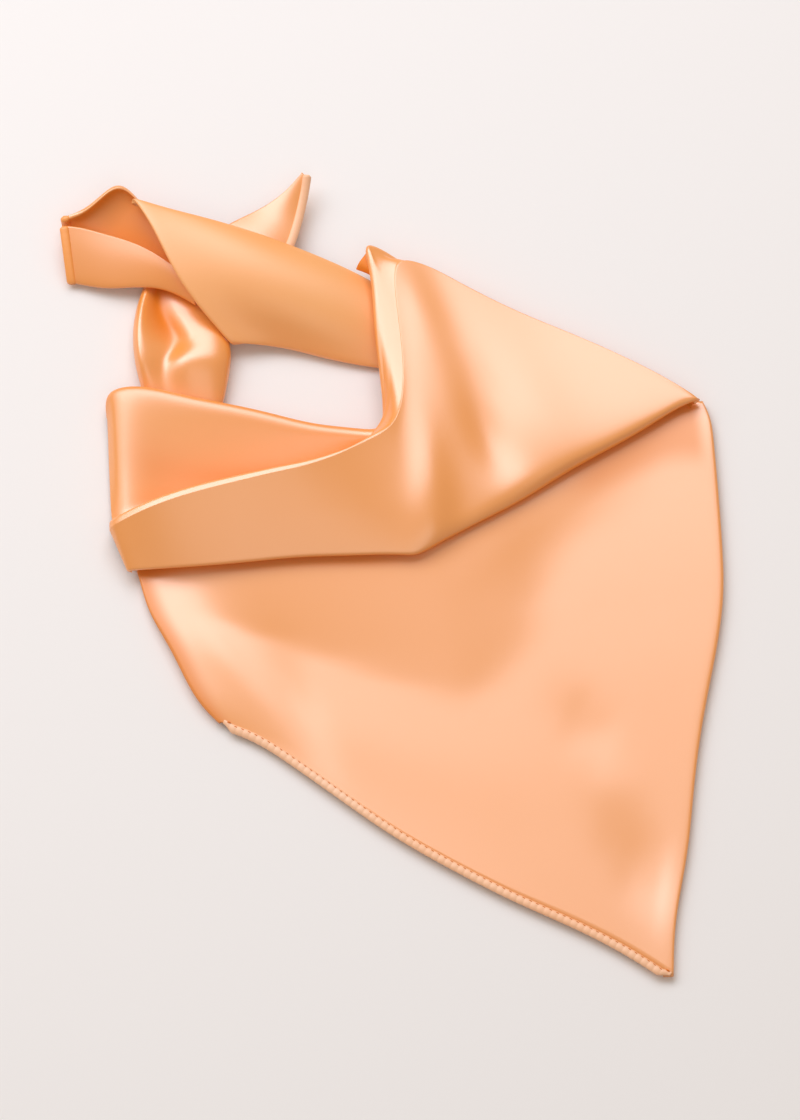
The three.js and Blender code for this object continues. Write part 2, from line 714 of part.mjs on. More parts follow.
function tailNet() {
  const lipAt = curveThrough(TAIL_LIP);
  const underAt = curveThrough(TAIL_UNDER);
  const farAt = curveThrough(TAIL_FAR);
  const net = [[], [], [], [], [], [], [], [], []];
  for (let i = 0; i <= TAIL_STEPS; i++) {
    const at = i / TAIL_STEPS;
    const lip = placed(...lipAt(at));
    const under = placed(...underAt(at));
    const far = placed(...farAt(at));
    const open = smooth(at / 0.4);
    const back = new THREE.Vector3(0, 1, 0);
    const floor = under.clone().addScaledVector(back, 7);
    floor.z = Math.max(SECOND_MID, under.z - 1.6);
    const floorFar = floor.clone().lerp(new THREE.Vector3(far.x, far.y, floor.z), 0.55);
    const wall = new THREE.Vector3(mix(far.x, floorFar.x, 0.4), far.y + 0.8, mix(floor.z, far.z, 0.5));
    wall.y = Math.max(wall.y, floorFar.y + 1.5);
    const face = (share, rise) => {
      const p = lip.clone().lerp(under, share);
      p.z += rise;
      return p;
    };
    const roll = far.clone().add(new THREE.Vector3(0, 2.4, -2.6 * open));
    const line = [lip, face(0.35, 1.4), face(0.75, 1.2), under, floor, floorFar, wall, far, roll];
    line.forEach((p, k) => net[k].push(p));
  }
  return net;
}
function riserNet() {
  return RISER.map((s) => {
    const slant = RISER_SLANT * smooth((100 - s.up) / 18);
    const at = (across, height) => placed(across, s.up - slant * (across + 123), height);
    return [
      at(s.left + 4, SECOND_MID),
      at(s.left + 0.6, SECOND_MID + 0.4),
      at(s.left - 0.6, mix(SECOND_MID, s.high, 0.45)),
      at(mix(s.left, s.ridge, 0.35), s.high * 0.97),
      at(s.ridge, s.high),
      at(mix(s.ridge, s.groove, 0.6), mix(s.high, s.low, 0.6)),
      at(s.groove, s.low),
      at(mix(s.groove, s.belly, 0.45), mix(s.low, s.full, 0.65)),
      at(s.belly, s.full),
      at(mix(s.belly, s.right, 0.6), s.full * 0.94),
      at(s.right - 1, mix(SECOND_MID, s.full, 0.65)),
      at(s.right + 0.6, mix(SECOND_MID, s.full, 0.25)),
      at(s.right - 4, SECOND_MID),
    ];
  });
}
const POINT_ROWS = [0, 0.15, 0.3, 0.45, 0.6, 0.75, 0.88, 1];
const POINT_COLUMNS = [0, 0.2, 0.4, 0.6, 0.8, 1];
function pointNet() {
  const left = curveThrough(POINT_LEFT);
  const right = curveThrough(POINT_RIGHT);
  return POINT_ROWS.map((v) =>
    POINT_COLUMNS.map((u) => {
      const a = left(v);
      const b = right(v);
      const fold = 3 * Math.sin(Math.PI * u) * (1 - v);
      return placed(mix(a[0], b[0], u), mix(a[1], b[1], u), mix(a[2], b[2], u) + fold);
    }),
  );
}

// The lower half of the folded square, flat on the table inside the outline of what lies on it.
const UNDER_OUTLINE = [
  // x, y on the table, from the left of the hem anticlockwise
  [-86, -83.5],
  [-52, -101.5],
  [-29, -118.5],
  [3, -141],
  [32, -159],
  [61, -174.5],
  [91, -188.5],
  [119, -204],
  [130, -207],
  [134.5, -172],
  [141, -105],
  [149.5, -54],
  [154, -11],
  [151, 37],
  [145, 72],
  [135, 82],
  [92, 100],
  [55, 113],
  [24, 126],
  [16, 112],
  [7, 84],
  [0, 71],
  [-8, 60],
  [-24, 58],
  [-42, 60],
  [-68, 67],
  [-100, 73.5],
  [-122, 79],
  [-141, 77],
  [-138.5, 52],
  [-135, 12],
  [-128, -8],
  [-120, -24],
  [-108.5, -45],
  [-100, -61],
  [-92, -75],
];
function underLayer() {
  const shape = new THREE.Shape(UNDER_OUTLINE.map(([x, y]) => new THREE.Vector2(x, y)));
  return new THREE.ExtrudeGeometry(shape, { depth: WALL, bevelEnabled: false, steps: 1 });
}

// A rolled hem: a flattened round section swept just outside the edge of a sheet.
function hemSolid(edge, inner) {
  const points = [];
  const n = edge.length;
  edge.forEach((p, i) => {
    const run = edge[Math.min(n - 1, i + 1)].clone().sub(edge[Math.max(0, i - 1)]).normalize();
    const out = p.clone().sub(inner[i]);
    out.addScaledVector(run, -out.dot(run)).normalize();
    const normal = new THREE.Vector3().crossVectors(run, out).normalize();
    const centre = p.clone().addScaledVector(out, GAP + HEM_WIDTH / 2);
    const end = i === 0 || i === n - 1 ? 0.6 : 1;
    for (let k = 0; k < HEM_SIDES; k++) {
      const a = (2 * Math.PI * (k + 0.5)) / HEM_SIDES;
      points.push(
        centre
          .clone()
          .addScaledVector(out, (Math.cos(a) * end * HEM_WIDTH) / 1.85)
          .addScaledVector(normal, (Math.sin(a) * end * HEM_THICK) / 1.85),
      );
    }
  });
  const faces = [];
  for (let i = 0; i < n - 1; i++)
    for (let k = 0; k < HEM_SIDES; k++) {
      const a = i * HEM_SIDES + k;
      const b = i * HEM_SIDES + ((k + 1) % HEM_SIDES);
      faces.push(a, b, a + HEM_SIDES, b, b + HEM_SIDES, a + HEM_SIDES);
    }
  for (let k = 1; k < HEM_SIDES - 1; k++) {
    faces.push(0, k + 1, k);
    const last = (n - 1) * HEM_SIDES;
    faces.push(last, last + k, last + k + 1);
  }
  return solid(points, faces);
}

const group = new THREE.Group();
function add(name, geometry, colour) {
  const material = new THREE.MeshStandardMaterial({ color: colour, roughness: 0.4, metalness: 0 });
  const mesh = new THREE.Mesh(geometry, material);
  mesh.name = name;
  group.add(mesh);
}
const ROLL_COLUMNS = 5;
const frontGrid = surfaceOf(frontNet(), 1.2, 1.3);
const tailGrid = surfaceOf(tailNet(), 1.8, 1.2);
const pointGrid = surfaceOf(pointNet(), 1.2, 1.4);
const frontEdge = frontGrid.at(-1).slice(ROLL_COLUMNS, -ROLL_COLUMNS);
const frontInside = frontGrid.at(-2).slice(ROLL_COLUMNS, -ROLL_COLUMNS);
const tailEdge = tailGrid.map((row) => row[0]);
const tailInside = tailGrid.map((row) => row[1]);
const pointEdge = pointGrid.map((row) => row.at(-1));
const pointInside = pointGrid.map((row) => row.at(-2));
add("under_layer", underLayer(), SATIN);
add("front_point", sheetSolid(frontGrid, WALL), SATIN);
add("front_hem", hemSolid(frontEdge, frontInside), SATIN_HEM);
add("collar_fold", sheetSolid(surfaceOf(collarNet(), 1.5, 1.1), WALL), SATIN);
add("neck_band", sheetSolid(surfaceOf(bandNet(), 1.6, 1.4), WALL), SATIN);
add("blunt_tail", sheetSolid(tailGrid, WALL), SATIN_IN_SHADE);
add("blunt_tail_hem", hemSolid(tailEdge, tailInside), SATIN_HEM);
add("knot_strand", sheetSolid(surfaceOf(riserNet(), 2.2, 1.4), WALL), SATIN);
add("pointed_tail", sheetSolid(pointGrid, WALL), SATIN);
add("pointed_tail_hem", hemSolid(pointEdge, pointInside), SATIN_HEM);

// The part's frame: the middle of its bounding box, at the table.
const bounds = new THREE.Box3().setFromObject(group);
const middle = bounds.getCenter(new THREE.Vector3());
group.position.set(-middle.x, -middle.y, 0);

export default group;
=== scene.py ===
from math import cos, exp, pi, radians, sin

import bmesh
import bpy
import numpy as np
from mathutils import Matrix, Vector


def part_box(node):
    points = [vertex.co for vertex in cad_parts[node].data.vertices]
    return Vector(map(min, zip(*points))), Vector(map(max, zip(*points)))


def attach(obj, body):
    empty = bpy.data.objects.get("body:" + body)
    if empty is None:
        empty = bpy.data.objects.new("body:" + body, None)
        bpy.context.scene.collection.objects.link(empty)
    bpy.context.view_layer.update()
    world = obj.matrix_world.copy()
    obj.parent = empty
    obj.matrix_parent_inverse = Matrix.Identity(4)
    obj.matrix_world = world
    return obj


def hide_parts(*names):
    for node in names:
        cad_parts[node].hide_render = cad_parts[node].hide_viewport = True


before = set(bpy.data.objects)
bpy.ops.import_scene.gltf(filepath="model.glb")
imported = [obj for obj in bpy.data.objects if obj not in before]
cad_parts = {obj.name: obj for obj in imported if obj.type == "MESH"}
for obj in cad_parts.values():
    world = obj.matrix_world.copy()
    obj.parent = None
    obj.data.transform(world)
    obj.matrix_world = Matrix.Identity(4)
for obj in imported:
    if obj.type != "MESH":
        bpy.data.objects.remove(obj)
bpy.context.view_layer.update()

# The lower half of the square neckerchief.
# Satin, folded along the diagonal and lying flat on the table under everything else.
# A single flat layer cut to the outline of what lies on it.
MM = 0.001
# The frame's walls are thicker than the cloth, which is drawn about the middle of each wall.
WALL = 1.2
CLOTH = 0.5
FLOOR_MID = WALL / 2
UNDER_OUTLINE = [
    # x, y on the table, from the left of the hem anticlockwise
    (-86, -83.5), (-52, -101.5), (-29, -118.5), (3, -141), (32, -159), (61, -174.5),
    (91, -188.5), (119, -204), (130, -207), (134.5, -172), (141, -105), (149.5, -54),
    (154, -11), (151, 37), (145, 72), (135, 82), (92, 100), (55, 113), (24, 126),
    (16, 112), (7, 84), (0, 71), (-8, 60), (-24, 58), (-42, 60), (-68, 67),
    (-100, 73.5), (-122, 79), (-141, 77), (-138.5, 52), (-135, 12), (-128, -8),
    (-120, -24), (-108.5, -45), (-100, -61), (-92, -75),
]
# The tables tell places from the middle of the picture; the under layer's box says where that is.
UNDER_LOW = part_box("under_layer")[0]
MIDDLE = np.array([
    UNDER_LOW.x / MM - min(x for x, y in UNDER_OUTLINE),
    UNDER_LOW.y / MM - min(y for x, y in UNDER_OUTLINE),
    0.0,
])


class Wire:
    """A socket of a material: + and * on it add the Math nodes that work them out."""

    def __init__(self, dye, socket):
        self.dye = dye
        self.socket = socket

    def maths(self, operation, first, second):
        return self.dye.node("ShaderNodeMath", {"operation": operation}, {0: first, 1: second})

    def __add__(self, other):
        return self.maths("ADD", self, other)

    def __radd__(self, other):
        return self.maths("ADD", other, self)

    def __mul__(self, other):
        return self.maths("MULTIPLY", self, other)

    def __rmul__(self, other):
        return self.maths("MULTIPLY", other, self)


class Dye:
    """The nodes of one material."""

    def __init__(self, name):
        self.material = bpy.data.materials.new(name)
        self.material.use_nodes = True
        self.tree = self.material.node_tree
        self.tree.nodes.clear()

    def node(self, kind, settings=None, values=None, out=0):
        """Adds a node of a type with its settings, then the values or links of its sockets."""
        made = self.tree.nodes.new(kind)
        for key, value in (settings or {}).items():
            setattr(made, key, value)
        for key, value in (values or {}).items():
            if isinstance(value, Wire):
                self.tree.links.new(value.socket, made.inputs[key])
            else:
                made.inputs[key].default_value = value
        return Wire(self, made.outputs[out]) if made.outputs else None


SATIN_PALE = (0.97, 0.335, 0.045)
SATIN_DEEP = (0.96, 0.315, 0.033)
SATIN_BACK_AND_SHADE = (0.84, 0.23, 0.008)
SATIN_ROUGH = 0.3
MATT_ROUGH = 0.5
BACK_ROUGH = 0.7
BACK_ADDS_ROUGH = 0.3
BACK_DULLS = 0.75
CLOUD_SCALE = 14.0
CLOUD_TINT = 0.5
CLOUD_ROUGH = 0.06
SLUB_SCALE = (260.0, 2600.0, 1.0)
SLUB_TINT = 0.25
SLUB_ROUGH = 0.04
SLUB_RISE = 0.00004


def satin(name, pale=SATIN_PALE, painted_shade=0.0, gloss=1.0):
    """Polyester satin: a broad soft sheen, faint slubs along the weft, and a deeper, duller back.

    The attribute called back tells how much of the dull back shows at a point of the cloth;
    where it is set on the open face it is painted shade, darkening and dulling the cloth there."""
    dye = Dye(name)
    place = dye.node("ShaderNodeTexCoord", out="Object")
    lay = dye.node("ShaderNodeUVMap", {"uv_map": "cloth"})
    cloudy = dye.node(
        "ShaderNodeTexNoise",
        values={"Vector": place, "Scale": CLOUD_SCALE, "Detail": 3.0, "Roughness": 0.5},
    )
    along = dye.node("ShaderNodeMapping", values={"Vector": lay, "Scale": SLUB_SCALE})
    slubs = dye.node(
        "ShaderNodeTexNoise", values={"Vector": along, "Scale": 1.0, "Detail": 2.0, "Roughness": 0.6},
    )
    # painted_shade deepens the whole tone towards SATIN_DEEP: painted shade.
    shade = cloudy * CLOUD_TINT + slubs * SLUB_TINT + painted_shade
    colour = dye.node(
        "ShaderNodeMix", {"data_type": "RGBA"},
        {"Factor": shade, "A": (*pale, 1), "B": (*SATIN_DEEP, 1)}, out="Result",
    )
    # back mixes in the dull back's colour and shader: the real back where it shows, painted shade
    # elsewhere.
    back = dye.node("ShaderNodeAttribute", {"attribute_name": "back"}, out="Fac")
    colour = dye.node(
        "ShaderNodeMix", {"data_type": "RGBA"},
        {"Factor": back, "A": colour, "B": (*SATIN_BACK_AND_SHADE, 1)}, out="Result",
    )
    rough = SATIN_ROUGH + (1 - gloss) * MATT_ROUGH
    rough = rough + cloudy * CLOUD_ROUGH + slubs * SLUB_ROUGH + back * BACK_ADDS_ROUGH
    weave = dye.node(
        "ShaderNodeBump", values={"Height": slubs, "Strength": 0.35, "Distance": SLUB_RISE}, out="Normal",
    )
    skin = dye.node(
        "ShaderNodeBsdfPrincipled",
        values={
            "Base Color": colour, "Roughness": rough, "Normal": weave,
            "Specular IOR Level": gloss, "IOR": 1.92, "Sheen Weight": 0.05, "Sheen Roughness": 0.4,
            "Sheen Tint": (1.0, 0.85, 0.75, 1),
        },
    )
    dull = dye.node(
        "ShaderNodeBsdfPrincipled",
        values={"Base Color": (*SATIN_BACK_AND_SHADE, 1), "Roughness": BACK_ROUGH, "Specular IOR Level": 0.1},
    )
    cloth = dye.node("ShaderNodeMixShader", values={0: back * BACK_DULLS, 1: skin, 2: dull})
    dye.node("ShaderNodeOutputMaterial", values={"Surface": cloth})
    return dye.material


# The under layer's tone is a little deeper: painted shade for the layer lying under the rest.
SATIN_UNDER = satin("peach_satin_under", painted_shade=0.1)


def finish_piece(bm, name, material, smooth=True):
    """Makes an object of a finished bmesh whose places are in millimetres from the picture's middle."""
    for v in bm.verts:
        v.co = Vector((np.array(v.co) + MIDDLE) * MM)
    mesh = bpy.data.meshes.new(name)
    bm.to_mesh(mesh)
    bm.free()
    for face in mesh.polygons:
        face.use_smooth = smooth
    mesh.materials.append(material)
    piece = bpy.data.objects.new(name, mesh)
    bpy.context.scene.collection.objects.link(piece)
    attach(piece, "root")
    return piece


bm = bmesh.new()
layer = bm.loops.layers.uv.new("cloth")
outline = [bm.verts.new((x, y, FLOOR_MID - CLOTH / 2)) for x, y in UNDER_OUTLINE]
lower = bm.faces.new(outline)
bmesh.ops.triangulate(bm, faces=[lower])
top = bmesh.ops.extrude_face_region(bm, geom=bm.faces[:])
raised = [g for g in top["geom"] if isinstance(g, bmesh.types.BMVert)]
bmesh.ops.translate(bm, vec=(0, 0, CLOTH), verts=raised)
bmesh.ops.recalc_face_normals(bm, faces=bm.faces)
for face in bm.faces:
    for loop in face.loops:
        loop[layer].uv = (loop.vert.co.x * MM, loop.vert.co.y * MM)
under_layer = finish_piece(bm, "satin_under_layer", SATIN_UNDER, smooth=False)
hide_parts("under_layer")

# The front point, the upper half of the folded square.
# One layer of satin from under the collar to the hem, with both sides rolled under by hand.
# It swells and dents where the cloth doesn't lie quite flat.
SATIN = satin("peach_satin")
SEEN_FROM = radians(70)
UP_SIN = sin(SEEN_FROM)
UP_COS = cos(SEEN_FROM)
GAP = 0.35
LAYER = WALL + GAP
SECOND_MID = FLOOR_MID + LAYER
THIRD_MID = SECOND_MID + LAYER
SIDE_RETURN = 14
SIDE_GUIDES = [
    # angle round the rolled edge, share of its radius
    (-90, 1), (-35, 1.2), (35, 1.2),
]
EDGE_STEP = 0.01
SHEET_REST = 4.8
SHEET_DIP = 0.1
SHEET_END = 4.2
SHEET_CLEAR = 20
SHOULDER = 12
HEM_WIDTH = 3.4
# Shares of the sheet's width or length over which its forms grow or fade.
DIP_EASES = (0.5, 0.2)
DIP_EASED = 0.6
HEM_SETTLES = (0.72, 0.28)
LEFT_SLOPE = 0.2
RIGHT_SLOPE = (0.14, 0.42)
RIGHT_WIDENS = 0.3
LEFT_CORNER_SLOPE = 0.05
RIGHT_CORNER_SLOPE = 0.04
SWELLS_BEFORE_HEM = 0.1
SWELLS_PAST_LEFT = 0.1
SWELLS_BEFORE_RIGHT = 0.08
LEFT_SIDE = [
    # at, across, up, radius of the rolled edge
    (0.0, -134, 2, 0.8), (0.14, -130, -10, 1.1), (0.3, -125.5, -24.5, 1.5),
    (0.5, -116, -42, 2.2), (0.7, -107.5, -58.5, 2.2), (0.88, -98.5, -73, 1.7),
    (1.0, -90, -81.5, 1),
]
RIGHT_SIDE = [
    # at, across, up, radius of the rolled edge
    (0.0, 151.4, 79.5, 0.7), (0.05, 155, 72.5, 1), (0.12, 157.2, 57, 1.2),
    (0.22, 159, 36, 1.3), (0.36, 161.5, -2, 1.4), (0.43, 161.5, -20, 1.4),
    (0.53, 157, -50, 1.4), (0.65, 150.5, -83, 1.3), (0.76, 146, -118, 1.2),
    (0.87, 142, -153, 1.1), (0.95, 136.5, -184, 1), (1.0, 136, -207, 0.9),
]
FRONT_HEM_LINE = [
    # at, across, up, height
    (0.0, -90, -81.5, 2.4), (0.07, -73, -87.5, 3.4), (0.15, -55, -98.5, 4),
    (0.25, -32, -114.5, 4.2), (0.4, 0, -136, 4.2), (0.53, 29.5, -152.5, 4),
    (0.66, 58.5, -167, 4), (0.79, 88, -180, 4), (0.92, 118, -195.5, 3.4),
    (1.0, 136, -207, 3),
]
FRONT_SWELLS = [
    # across, up, half length, half width, turn in degrees, rise
    (94, -86, 18, 8, -58, -1.6), (129, -166, 34, 11, -60, -5.4), (-50, -68, 30, 7, -68, -1.6),
    (-90, -46, 46, 8, -50, 1.5),
]
# The sheet starts at the collar's tucked edge, so the collar's lines and sizes are told here.
TUCK_DEPTH = 12
TUCK_ROOM = 0.4
TUCK_TURN = 0.7
TUCK_END = (0.2, 0.55)
EDGE_DROP = 2
CORNER_LIFT = (2, 2.6)
RIM_RADIUS = 4.2
RIM_STEP = 0.004
RIM_GUIDES = [
    # angle round the rim, share of its radius
    (-90, 1), (-30, 1.15), (30, 1.15), (90, 1.05),
]
RIM_RETURN = 13
MOUTH_RETURN = 5
PANEL_RETURN = 0.8
TIP_RETURN = 0.3
RIM_DROP = 5
MOUTH_DROP = 2.4
PANEL_DROP = 30
TIP_LEVEL = 1.9
BELLY_REACH = 0.35
RIM_LEFT_TIP = 0.15
RIM_RIGHT_TIP = 0.45
RIM_MOUTH = 0.5
FLARE_AT = 0.672
FLARE_WIDE = 0.014
FLARE_UNDER = (-24.5, 144.5, 11)
FLARE_BELLY = (-22, 149, 15)
SLOPE_SHARES = (0.28, 0.62, 0.88)
CREASE_LIP = 4.6
LIP_PRESSED = 0.8
LIP_DROP = (0.2, 0.4)
BRIM_DROP = 0.7
BRIM_PRESSED = 0.15
# Where along the collar a form starts, and over how much of its length it grows.
LEFT_TIP = (0, 0.045)
LEFT_CORNER = (0, 0.1)
MOUTH_OPENS = (0.5, 0.04)
CREASE_TURNS = (0.5, 0.06)
TUCK_TURNS = (0.55, 0.1)
PANEL_STARTS = (0.735, 0.04)
TIP_RISES = (0.86, 0.1)
RIGHT_CORNER = (0.88, 0.12)
# The rim narrows towards the right tip, to nothing just past it.
NARROWS_TO = 1.02
NARROWS_OVER = 0.2
# How the face rises above the line from the crease to the edge.
FACE_ABOVE = [
    # share of the way from the crease to where it is fullest, share of the rise
    (0.1, 0.12), (0.24, 0.32), (0.42, 0.54), (0.6, 0.72), (0.8, 0.9), (1, 1),
]
FACE_BELOW = [
    # share of the way from there to the edge, share of the rise
    (0.6, 0.72), (0.88, 0.3),
]
FLAP_EDGE = [
    # at, across, up, height
    (0.0, -135, -5, 9.4), (0.12, -111, -3.5, 13.4), (0.22, -90, -2, 15.3), (0.32, -69, 0, 16.1),
    (0.4, -45, 2, 16.3), (0.46, -25, 2.5, 16.3), (0.5, -8, 3, 16.3), (0.53, 2, 2.8, 16.3),
    (0.57, 10, 3.5, 16), (0.62, 25, 11.5, 15.3), (0.66, 42, 20.5, 14.6), (0.69, 54, 26.5, 13.2),
    (0.73, 68, 34.5, 12), (0.79, 87, 46, 11.1), (0.85, 106, 56.5, 10.6), (0.91, 125, 67.5, 10.2),
    (0.96, 140, 76.8, 10), (1.0, 149, 80.6, 10.2),
]
# How far the bulk of the knot's folds lifts the sheet under the flap, and how far out it slopes down.
SHEET_FALL = [
    # at, lift, reach of the slope
    (0.0, 1.2, 12), (0.12, 6, 28), (0.22, 8.8, 40), (0.32, 10.2, 52), (0.4, 10.4, 60), (0.5, 10.4, 68),
    (0.57, 10, 72), (0.62, 9.2, 72), (0.66, 8.2, 66), (0.69, 6.8, 48), (0.73, 5.6, 34), (0.79, 4.9, 30),
    (0.85, 4.3, 30), (0.91, 3.3, 28), (0.96, 1.8, 24), (1.0, 0.3, 12),
]
# Where the flap's face is fullest between the crease and the edge, and how much.
FACE_RISE = [
    # at, share of the way down the face at which the rise ends, rise
    (0.0, 0.5, 0.3), (0.4, 0.56, 0.5), (0.5, 0.62, 1.2), (0.55, 0.7, 2.2), (0.6, 0.82, 3.4),
    (0.66, 0.9, 4.2), (0.73, 0.94, 4.2), (0.79, 0.95, 4), (0.85, 0.95, 3.6), (0.91, 0.94, 2.8),
    (0.96, 0.88, 1.6), (1.0, 0.6, 0.5),
]
NECK_RIM = [
    # at, across, up, height
    (0.0, -146.8, 72, 4), (0.025, -149.6, 81, 7), (0.055, -143, 86.4, 10.5), (0.12, -123, 86, 12.4),
    (0.22, -101, 81, 12.4), (0.32, -68.5, 74.5, 11.4), (0.4, -42, 68, 10.6), (0.46, -23, 66, 10),
    (0.5, -10.5, 66.5, 10.6), (0.53, -8.5, 75, 13.4), (0.57, -10, 92, 16.4), (0.62, -13, 121, 18),
    (0.66, -15.5, 146, 17.8), (0.685, -17, 158, 17.2), (0.705, -9, 155.5, 14.8), (0.73, 3, 148, 10.8),
    (0.79, 28, 136.5, 8.6), (0.85, 60, 120.5, 7.4), (0.91, 97, 105.5, 7), (0.96, 131, 89.8, 7.4),
    (1.0, 147.6, 80.2, 7.8),
]
VALLEY = [
    # at, across, up, height
    (0.0, -143.5, 17, 3.6), (0.05, -136, 19.5, 8), (0.12, -122, 24, 6), (0.22, -100.5, 31, 5.4),
    (0.32, -78.5, 36.5, 5.6), (0.4, -57, 42, 6.2), (0.46, -40.5, 47, 7.6), (0.5, -25, 55, 10.4),
    (0.53, -12, 64.4, 15), (0.57, -5, 77, 19.4), (0.62, -5, 100, 21.4), (0.66, -6, 124, 20.8),
    (0.69, -8, 143, 20), (0.71, -6, 151, 18), (0.73, 3, 149.8, 15), (0.79, 28, 138.5, 12.4),
    (0.85, 60, 122.5, 10.6), (0.91, 97, 107.5, 9.4), (0.96, 131, 91.2, 9.2), (1.0, 148.2, 80.9, 9.2),
]
CREASE = [
    # at, across, up, height
    (0.0, -144, 17, 16), (0.12, -122.5, 27.5, 25), (0.22, -101, 34.5, 29), (0.32, -79, 40, 31),
    (0.4, -57.5, 45, 31.5), (0.46, -41, 49, 31), (0.5, -25, 55.5, 29.5), (0.53, -11, 62.5, 27.5),
    (0.57, -2.5, 70, 25.5), (0.62, 1.5, 85, 23.6), (0.66, 1, 108, 22), (0.69, -2, 133, 20.8),
    (0.71, -2, 148, 19.4), (0.73, 5, 150, 17.2), (0.79, 29, 139.5, 14), (0.85, 60.5, 123.8, 11.9),
    (0.91, 97.5, 108.5, 10.8), (0.96, 131.5, 92, 10.8), (1.0, 148.6, 81.4, 10.8),
]


def curve_through(rows):
    """A smooth curve through the rows of a table whose first column is the place."""
    rows = np.array(rows, float)
    at = rows[:, 0]
    values = rows[:, 1:]
    n = len(rows)
    second = np.zeros_like(values)
    upper = np.zeros(n)
    right = np.zeros_like(values)
    for i in range(1, n - 1):
        before = at[i] - at[i - 1]
        after = at[i + 1] - at[i]
        slopes = (values[i + 1] - values[i]) / after - (values[i] - values[i - 1]) / before
        pivot = 2 * (before + after) - before * upper[i - 1]
        upper[i] = after / pivot
        right[i] = (6 * slopes - before * right[i - 1]) / pivot
    for i in range(n - 2, 0, -1):
        second[i] = right[i] - upper[i] * second[i + 1]

    def curve(place):
        i = 0
        while i < n - 2 and place > at[i + 1]:
            i += 1
        span = at[i + 1] - at[i]
        b = (place - at[i]) / span
        a = 1 - b
        bend = ((a**3 - a) * second[i] + (b**3 - b) * second[i + 1]) * span * span / 6
        return a * values[i] + b * values[i + 1] + bend

    return curve


def placed(across, up, height):
    """A point told as it is seen, in the part's own frame."""
    return np.array([across, (up - height * UP_COS) / UP_SIN, height], float)


def mix(a, b, share):
    return a + (b - a) * share


def smooth(x):
    t = min(1.0, max(0.0, x))
    return t * t * (3 - 2 * t)


def past(x, start, over):
    """Grows softly from 0 at the start to 1 where x is past it by the length it grows over."""
    return smooth((x - start) / over)


def unit(v):
    v = np.array(v, float)
    return v / max(1e-9, float(np.linalg.norm(v)))


def swell(table, across, up):
    """What the swells of a table add to the height at a place of the picture."""
    rise = 0.0
    for centre, middle, long, wide, turn, height in table:
        c, s = cos(radians(turn)), sin(radians(turn))
        dx, dy = across - centre, up - middle
        rise += height * exp(-(((dx * c + dy * s) / long) ** 2 + ((dy * c - dx * s) / wide) ** 2))
    return rise


def spline_weights(count, samples):
    """For each sample, the share of every guide point of a row, the row's two ends carried on straight."""
    share = np.zeros((samples + 1, count))
    for k in range(samples + 1):
        t = (count - 1) * k / samples
        i = min(int(t), count - 2)
        f = t - i
        g = 1 - f
        weights = (g**3, 3 * f**3 - 6 * f * f + 4, 3 * g**3 - 6 * g * g + 4, f**3)
        for j, w in enumerate(w / 6 for w in weights):
            at = i + j - 1
            if at < 0:
                share[k, 0] += 2 * w
                share[k, 1] -= w
            elif at >= count:
                share[k, -1] += 2 * w
                share[k, -2] -= w
            else:
                share[k, at] += w
    return share


def surface_of(net, rows_per_span, columns_per_span):
    """The surface of a net of guide points, as rows of points."""
    net = np.array(net, float)
    rows = spline_weights(net.shape[0], round((net.shape[0] - 1) * rows_per_span))
    columns = spline_weights(net.shape[1], round((net.shape[1] - 1) * columns_per_span))
    return np.einsum("ri,ijk,cj->rck", rows, net, columns)


def cloth_piece(name, grid, material, back=None):
    """A sheet of cloth over a grid of points, its UV map in metres along the cloth.

    back tells how much of the dull side shows at a share of the rows and of the columns."""
    rows, columns = grid.shape[0] - 1, grid.shape[1] - 1
    long = float(np.linalg.norm(np.diff(grid, axis=0), axis=2).sum(0).mean()) * MM
    wide = float(np.linalg.norm(np.diff(grid, axis=1), axis=2).sum(1).mean()) * MM
    bm = bmesh.new()
    layer = bm.loops.layers.uv.new("cloth")
    bmesh.ops.create_grid(bm, x_segments=columns, y_segments=rows, size=1, calc_uvs=True)
    turned = bm.verts.layers.float.new("back")
    for v in bm.verts:
        c = round((v.co.x + 1) / 2 * columns)
        r = round((1 - v.co.y) / 2 * rows)
        v.co = grid[r, c]
        v[turned] = back(r / rows, c / columns) if back else 0.0
    for face in bm.faces:
        for loop in face.loops:
            u, w = loop[layer].uv
            loop[layer].uv = (u * wide, w * long)
    piece = finish_piece(bm, name, material)
    wall = piece.modifiers.new("two faces", "SOLIDIFY")
    wall.thickness = CLOTH * MM
    wall.offset = 0
    return piece


rim_at = curve_through(NECK_RIM)
valley_at = curve_through(VALLEY)
crease_at = curve_through(CREASE)
edge_at = curve_through(FLAP_EDGE)
fall_at = curve_through(SHEET_FALL)
rise_at = curve_through(FACE_RISE)


def flat(v):
    return np.array([v[0], v[1], 0.0])


def square_to(curve, at, step):
    """The level direction square to a line, to its left as it runs on."""
    before = curve(max(0, at - step))
    after = curve(min(1, at + step))
    return unit((before[1] - after[1], after[0] - before[0], 0))


